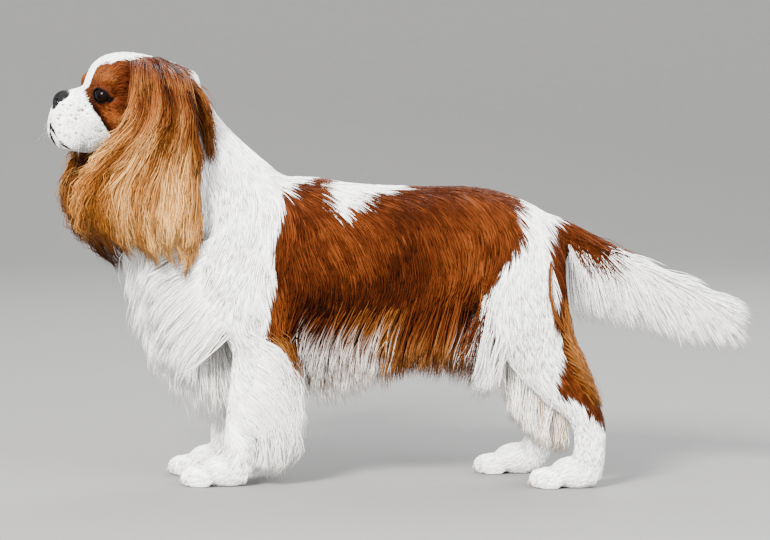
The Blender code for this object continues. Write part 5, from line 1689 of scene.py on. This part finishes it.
def fringe_sheet(skin, side, material):
    """Fringe of one side of the belly: white in front, golden chestnut behind."""
    rng = np.random.default_rng(430 + side)
    count = 2100
    x, v = rng.uniform(-0.104, 0.096, count), rng.random(count)
    tip_x = x - 0.008 - 0.014 * (1 - v)
    edge = read_at(tip_x, FRINGE)
    pale = np.interp(tip_x, [-0.114, -0.104, -0.026, -0.004], [0.0, 1.0, 1.0, 0.0])
    outer = 1 - smooth(0.15, 0.55, v)
    root_z = 0.185 - 0.060 * v + rng.normal(0, 0.012, count)
    roots = np.column_stack([x, side * (0.068 - 0.056 * v), root_z])
    uneven = 0.006 * ripple(np.column_stack([x, v * 0.04, x * 0]), 0.020, 97)
    rise = 0.030 * (1 - v) ** 1.5 + 0.010 * rng.random(count) ** 2 + uneven
    tip_z = edge + rise + pale * outer * rng.uniform(0.002, 0.030, count)
    ahead, aside = np.maximum(tip_x, -0.112), side * (0.056 - 0.044 * v)
    tips = scattered(rng, count, (ahead, 0.003), (aside, 0.002), (tip_z, 0.003))
    curve = np.interp(x, [-0.10, -0.02, 0.02, 0.10], [0.35, 0.30, -0.10, -0.30])
    headings = falling(rng, count, curve, 0.15, 0.05)
    paths, ups = hung(skin, roots, tips, headings, 0.001)
    end = read_at(tip_x, FRINGE_BROWN)
    end = (ripple(roots, 0.014, 91) * 0.25 + 0.5 + rng.normal(0, 0.18, count) < end).astype(float)
    start = (paths[:, 0, 2] > 0.142 + 0.004 * rng.normal(0, 1, count)).astype(float)
    tip_brown = np.maximum(end, 0.35 * outer * pale * rng.random(count))
    brown = np.column_stack([np.maximum(start, end), tip_brown])
    gold = np.column_stack([0.6 * pale, np.clip(0.20 + 0.70 * pale + 0.2 * rng.normal(0, 1, count), 0, 1)])
    cream = np.clip(0.3 + 0.3 * rng.normal(0, 1, count), 0, 1)
    name = "fringe_" + SIDE_NAME[side]
    add_sheet(name, skin, paths, ups, brown, gold, cream, material, rng, 14, 0.034, 0.55)


def plume_sheet(skin, material):
    rng = np.random.default_rng(451)
    count = 4000
    x = 0.174 + 0.161 * rng.random(count) ** 0.9
    share = rng.random(count) ** 0.65
    early = 1 - smooth(0.18, 0.28, x)
    length = rng.uniform(0.034, 0.056, count) * (1 - (0.25 + 0.5 * early) * share)
    tip_x = np.minimum(x + length, 0.367 - 0.007 * share + rng.normal(0, 0.003, count))
    top, bottom = (np.interp(tip_x, np.array(PLUME)[:, 0], np.array(PLUME)[:, k]) for k in (1, 2))
    bone = np.interp(x, np.array(TAIL)[:, 0], np.array(TAIL)[:, 2])
    y = rng.normal(0, 0.0105, count) * (1 - 0.50 * share)
    roots = np.column_stack([x, y * 1.2, bone + 0.012 - 0.026 * share])
    tips = scattered(rng, count, (tip_x, 0.002), (y, 0.001), (top + (bottom - top) * share, 0.003))
    headings = np.column_stack([0.9 - 0.45 * share, np.zeros(count), -0.42 - 0.45 * share])
    headings += rng.normal(0, 0.08, headings.shape)
    paths, ups = hung(skin, roots, tips, headings, 0.003)
    brown = (chestnut(paths[:, 0]) * (share < 0.55) > 0.5).astype(float)
    zero = np.zeros(count)
    cream = np.clip(0.05 + 0.4 * share * rng.random(count), 0, 1)
    add_sheet("plume", skin, paths, ups, brown, zero, cream, material, rng, 12, pull=0.38)


def leg_sheet(name, skin, rows, shape, side, steps, count, material, seed, tan=0.0, start=None):
    """Feathering of a leg on one side: rows of roots and tips, in the plane of the leg."""
    rng = np.random.default_rng(seed + side)
    y, sideways, lean, lift, deep, sweep = shape
    u, layer = rng.random(count), rng.random(count) ** 1.3
    ahead = rng.random(count) ** 1.5
    root_x, root_z, tip_x, tip_z = along_rows(rows, u)
    move = np.interp(u, [0, 1], steps) if side == RIGHT else 0.0
    across = rng.normal(0, sideways, count)
    root_y = side * (y + 0.022 * ahead * (sweep > 0)) + across * 1.2
    roots = np.column_stack([root_x + move - sweep * ahead, root_y, root_z + rng.normal(0, 0.006, count)])
    tips = scattered(
        rng,
        count,
        (tip_x + move + deep * layer, 0.002),
        (side * y + across, 0.001),
        (tip_z + 0.006 * layer + rng.uniform(0, 0.005, count), 0.002),
    )
    headings = falling(rng, count, lean, 0.14, 0.06)
    paths, ups = hung(skin, roots, tips, headings, lift, start)
    patch = chestnut(paths[:, 2]) > 0.5 if tan == 0 else np.zeros(count, bool)
    brown = np.maximum(patch, 0.75 * (rng.random(count) < tan * smooth(0.3, 1.0, u)))
    gold = np.where(tan > 0, 1.0, 0.4) + np.zeros(count)
    cream = np.clip(0.2 + 1.2 * tan + 0.35 * rng.normal(0, 1, count), 0, 1)
    light = 0.9 * (tan > 0)
    name = name + "_" + SIDE_NAME[side]
    add_sheet(name, skin, paths, ups, brown, gold, cream, material, rng, 26, 0.062, 0.70, light, wave=0.055)


def leg_sheets(skin, material):
    """Feathering behind and inside the legs, and the tuft in front of each thigh."""
    fore = [(FEATHER_ROOT, *row) for row in FORE_FEATHER]
    back = (1.0, 0.0, -0.45)
    for side in (LEFT, RIGHT):
        shape = (STANCE_FRONT, 0.0085, -0.38, 0.006, -0.018, 0.046)
        leg_sheet("feather", skin, fore, shape, side, (-0.010, -0.019), 1650, material, 470, start=back)
        shape = (STANCE_REAR, 0.0080, 0.15, 0.004, -0.010, 0.0)
        leg_sheet("breeches", skin, THIGH_FEATHER, shape, side, (-0.005, -0.025), 800, material, 480)
        shape = (STANCE_REAR - 0.006, 0.0075, -0.30, 0.003, 0.014, 0.0)
        leg_sheet("flank", skin, FLANK_TUFT, shape, side, (-0.004, -0.016), 300, material, 490)
        shape = (STANCE_REAR - 0.018, 0.0070, 0.08, 0.004, 0.0, 0.0)
        leg_sheet("inner", skin, INNER_FEATHER, shape, side, (0.0, 0.0), 750, material, 500, tan=0.35)


def ear_fringe(skin, side, material):
    """Dark chestnut hair behind the root of an ear."""
    rng = np.random.default_rng(520 + side)
    count = 420
    u = rng.random(count)
    along = np.column_stack([-0.030 - 0.012 * u, 0.044 + 0.004 * u, 0.030 - 0.050 * u])
    roots = along + rng.normal(0, 0.003, along.shape)
    drop = 0.012 + 0.020 * u + 0.070 * rng.random(count) ** 1.6
    tips = np.column_stack([-0.046 - 0.006 * u, 0.060 + 0.004 * u, -drop]) + rng.normal(0, 0.003, along.shape)
    headings = np.column_stack([np.full(count, -0.05), np.zeros(count), np.full(count, -1.0)])
    flip = np.array((1, -side, 1))
    turn = HEAD_PLACE[:3, :3]
    paths, ups = hung(skin, to_model(roots * flip), to_model(tips * flip), (headings * flip) @ turn.T, 0.006)
    ones = np.ones(count)
    name = "ear_fringe_" + SIDE_NAME[side]
    add_sheet(name, skin, paths, ups, ones, ones * 0.15, ones * 0, material, rng, 14, slot="coat_golden")


# The tan lock down the near rump: x, z
RUMP_ARC = [
    (0.154, 0.232), (0.149, 0.218), (0.146, 0.204), (0.146, 0.190), (0.150, 0.176), (0.157, 0.164),
    (0.166, 0.154),
]


def rump_lock(skin, material):
    """The thin tan lock down the near rump."""
    rng = np.random.default_rng(541)
    count = 11
    line = np.array([(x, -0.060, z) for x, z in RUMP_ARC])
    flat = (line[None] + rng.normal(0, 0.0007, (count, 1, 3))).reshape(-1, 3)
    places, normals = skin.nearest(flat)
    height = np.maximum(((flat - places) * normals).sum(1), 0.004)
    paths = (places + normals * height[:, None]).reshape(count, STEPS + 1, 3)
    ones = np.ones(count)
    ups = normals.reshape(paths.shape)
    add_sheet(
        "rump_lock", skin, paths, ups, ones, ones * 0.3, ones * 0, material, rng,
        bundle=30, swing=0.0, slot="coat_chestnut",
    )


# Eyes, nose, claws and whiskers
NOSE_GROOVE = ((0.1010, 0, -0.0125), (0.0030, 0.0007, 0.0080))
PUPIL, IRIS = 0.0034, 0.0092
IRIS_BROWN = np.array((0.0032, 0.0013, 0.0006))
PUPIL_BLACK = np.array((0.0008, 0.0008, 0.0008))
EYE_WHITE = np.array((0.020, 0.013, 0.011))


def make_eye(side, material):
    mesh = ellipsoid((0, 0, 0), (EYE_RADIUS,) * 3, 48, 40)
    points = points_of(mesh)
    out = np.hypot(points[:, 0], points[:, 1])
    front = points[:, 2] > 0
    bulge = 0.0007 * (1 - smooth(0.0, IRIS, out)) * front
    shade = ramp(smooth(0.0, 1.0, smooth(PUPIL * 0.85, PUPIL * 1.15, out)), PUPIL_BLACK, IRIS_BROWN)
    shade = shade * (1 - 0.75 * smooth(IRIS * 0.8, IRIS, out))[:, None]
    rim = smooth(IRIS, IRIS * 1.08, out)[:, None]
    shade = shade * (1 - rim) + EYE_WHITE * rim
    points = points * (1 + (bulge / EYE_RADIUS)[:, None])
    moved(mesh, points)
    paint(mesh, shade)
    mesh.transform(eye_frame(side))
    mesh.shade_smooth()
    mesh.materials.append(material)
    obj = add_object("eyeball_" + SIDE_NAME[side], mesh)
    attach(obj, "root")
    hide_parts("eye_" + SIDE_NAME[side])


def make_nose(material):
    """Nose leather with comma-shaped nostrils and the groove below."""
    balls = [ellipsoid(NOSE_CENTRE, NOSE_SIZES, 48, 32), ellipsoid(*NOSE_BASE, 40, 28)]
    nose = remeshed(joined(balls), 0.0008)
    holes = []
    for side in (LEFT, RIGHT):
        for (forward, sideways, up), sizes in (NOSTRIL, NOSTRIL_SLIT):
            holes.append(ellipsoid((forward, side * sideways, up), sizes, 20, 12))
    holes.append(ellipsoid(*NOSE_GROOVE, 16, 12))
    nose = combined(nose, [remeshed(joined(holes), 0.0005)], "DIFFERENCE")
    nose = relaxed(remeshed(nose, 0.00055), 6, 0.5, -0.45)
    nose.transform(head_place())
    nose.shade_smooth()
    nose.materials.clear()
    nose.materials.append(material)
    obj = add_object("nose_tip", nose)
    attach(obj, "root")
    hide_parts("nose")


def make_claws(material):
    """Four claws on each foot, curved down in front of the toes."""
    pieces = []
    for side in (LEFT, RIGHT):
        fore = side_rows(FORELEG, RIGHT_FORE_STEP, side)[-1]
        hind = side_rows(THIGH, RIGHT_HIND_STEP, side)[-1]
        for x, y in (fore[:2], hind[:2]):
            for spread, reach in zip(TOE_SPREAD, TOE_REACH):
                tip_x = x - PAW_LENGTH * 0.5 - 0.0190 - reach
                toe_y = y + side * spread
                rows = [
                    (tip_x + 0.0070, toe_y, 0.0085, 0.0017, 0.0014),
                    (tip_x + 0.0030, toe_y, 0.0080, 0.0015, 0.0012),
                    (tip_x + 0.0002, toe_y, 0.0056, 0.0010, 0.0008),
                    (tip_x - 0.0006, toe_y, 0.0030, 0.0003, 0.0003),
                ]
                pieces.append(limb(rows, count=10, sides=10))
    mesh = joined(pieces)
    mesh.shade_smooth()
    mesh.materials.append(material)
    obj = add_object("claws", mesh)
    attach(obj, "root")


def make_whiskers(skin, material):
    """Fine whiskers from the upper lips."""
    rng = np.random.default_rng(77)
    starts, ends = [], []
    for side in (LEFT, RIGHT):
        for _ in range(11):
            f, u = rng.uniform(0.078, 0.100), rng.uniform(-0.040, -0.016)
            starts.append((f, -side * 0.030, u))
            along, out = rng.uniform(-0.022, 0.014), rng.uniform(0.038, 0.056)
            ends.append((f + along, -side * out, u - rng.uniform(-0.006, 0.026)))
    starts, _ = skin.nearest(to_model(starts))
    ends = to_model(ends)
    t = np.linspace(0, 1, STEPS + 1)[None, :, None]
    sag = np.array([0, 0, -0.004]) * t**2
    paths = starts[:, None] + (ends - starts)[:, None] * t + sag
    ups = np.broadcast_to(np.array([0.0, 0.0, 1.0]), paths.shape).copy()
    count = len(paths)
    zero = np.zeros(count)
    widths, lengths = np.full(count, 0.00022), np.full(count, 0.05)
    strands = Strands(paths, ups, widths, skin_wrap(skin, starts), zero, zero, zero, zero, lengths)
    strands.pieces("whiskers", material, "coat_white")


# Stage
IMAGE_WIDTH = 770
SENSOR_WIDTH = 36
FOCAL_PIXELS = 3173
CAMERA = (-0.0151, -3.3, 0.47)
CAMERA_PITCH = math.radians(4.325)


def make_camera():
    camera = bpy.data.objects.new("camera", bpy.data.cameras.new("camera"))
    bpy.context.scene.collection.objects.link(camera)
    camera.location = CAMERA
    camera.rotation_euler = (math.pi / 2 - CAMERA_PITCH, 0, 0)
    camera.data.sensor_width = SENSOR_WIDTH
    camera.data.lens = FOCAL_PIXELS / IMAGE_WIDTH * SENSOR_WIDTH
    camera.data.clip_end = 50
    bpy.context.scene.camera = camera


def add_area(name, place, target, size, watts, colour):
    light = bpy.data.objects.new(name, bpy.data.lights.new(name, "AREA"))
    light.data.energy = watts
    light.data.size = size
    light.data.color = colour
    light.location = place
    aim = Vector(target) - Vector(place)
    light.rotation_euler = aim.to_track_quat("-Z", "Y").to_euler()
    bpy.context.scene.collection.objects.link(light)


def make_stage():
    """A floor that curves up into a plain wall far behind."""
    reach, wall, bend = 12.0, 5.0, 2.0
    turn = np.linspace(0, math.pi / 2, 24)
    rows = [(-12.0, 0.0), *zip(wall - bend + bend * np.sin(turn), bend - bend * np.cos(turn)), (wall, 8.0)]
    points = [(x, y, z) for y, z in rows for x in (-reach, reach)]
    faces = [(2 * k, 2 * k + 1, 2 * k + 3, 2 * k + 2) for k in range(len(rows) - 1)]
    mesh = bpy.data.meshes.new("floor")
    mesh.from_pydata(points, [], faces)
    mesh.shade_smooth()
    mesh.materials.append(floor_material())
    add_object("floor", mesh)
    add_area("key", (-1.4, -2.7, 2.1), (0, 0, 0.2), 0.9, 640, (1.0, 0.98, 0.95))
    add_area("fill", (2.4, -2.2, 1.4), (0, 0, 0.2), 2.2, 165, (0.97, 0.98, 1.0))
    add_area("back", (0.6, 2.2, 2.2), (0, 0, 0.25), 1.6, 130, (1.0, 1.0, 1.0))
    world = bpy.data.worlds.new("studio")
    world.use_nodes = True
    background = world.node_tree.nodes["Background"]
    background.inputs["Color"].default_value = (0.97, 0.98, 1.0, 1)
    background.inputs["Strength"].default_value = 2.6
    bpy.context.scene.world = world


FLESH = [
    "head", "neck", "chest", "torso", "tail", "ear_left", "ear_right", "foreleg_left", "foreleg_right",
    "forepaw_left", "forepaw_right", "thigh_left", "thigh_right", "hindpaw_left", "hindpaw_right",
]


def main():
    coat = coat_material()
    skin_object = make_skin(skin_material())
    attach(skin_object, "root")
    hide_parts(*FLESH)
    skin = Surface(skin_object.data)
    body_coat(skin, coat)
    chest_sheets(skin, coat)
    plume_sheet(skin, coat)
    leg_sheets(skin, coat)
    rump_lock(skin, coat)
    for side in (LEFT, RIGHT):
        fringe_sheet(skin, side, coat)
        ear_coat(skin, side, coat)
        ear_fringe(skin, side, coat)
        ear_crown(skin, side, coat)
    make_whiskers(skin, coat)
    eye = eye_material()
    for side in (LEFT, RIGHT):
        make_eye(side, eye)
    make_nose(nose_material())
    make_claws(claw_material())
    make_camera()
    make_stage()


main()
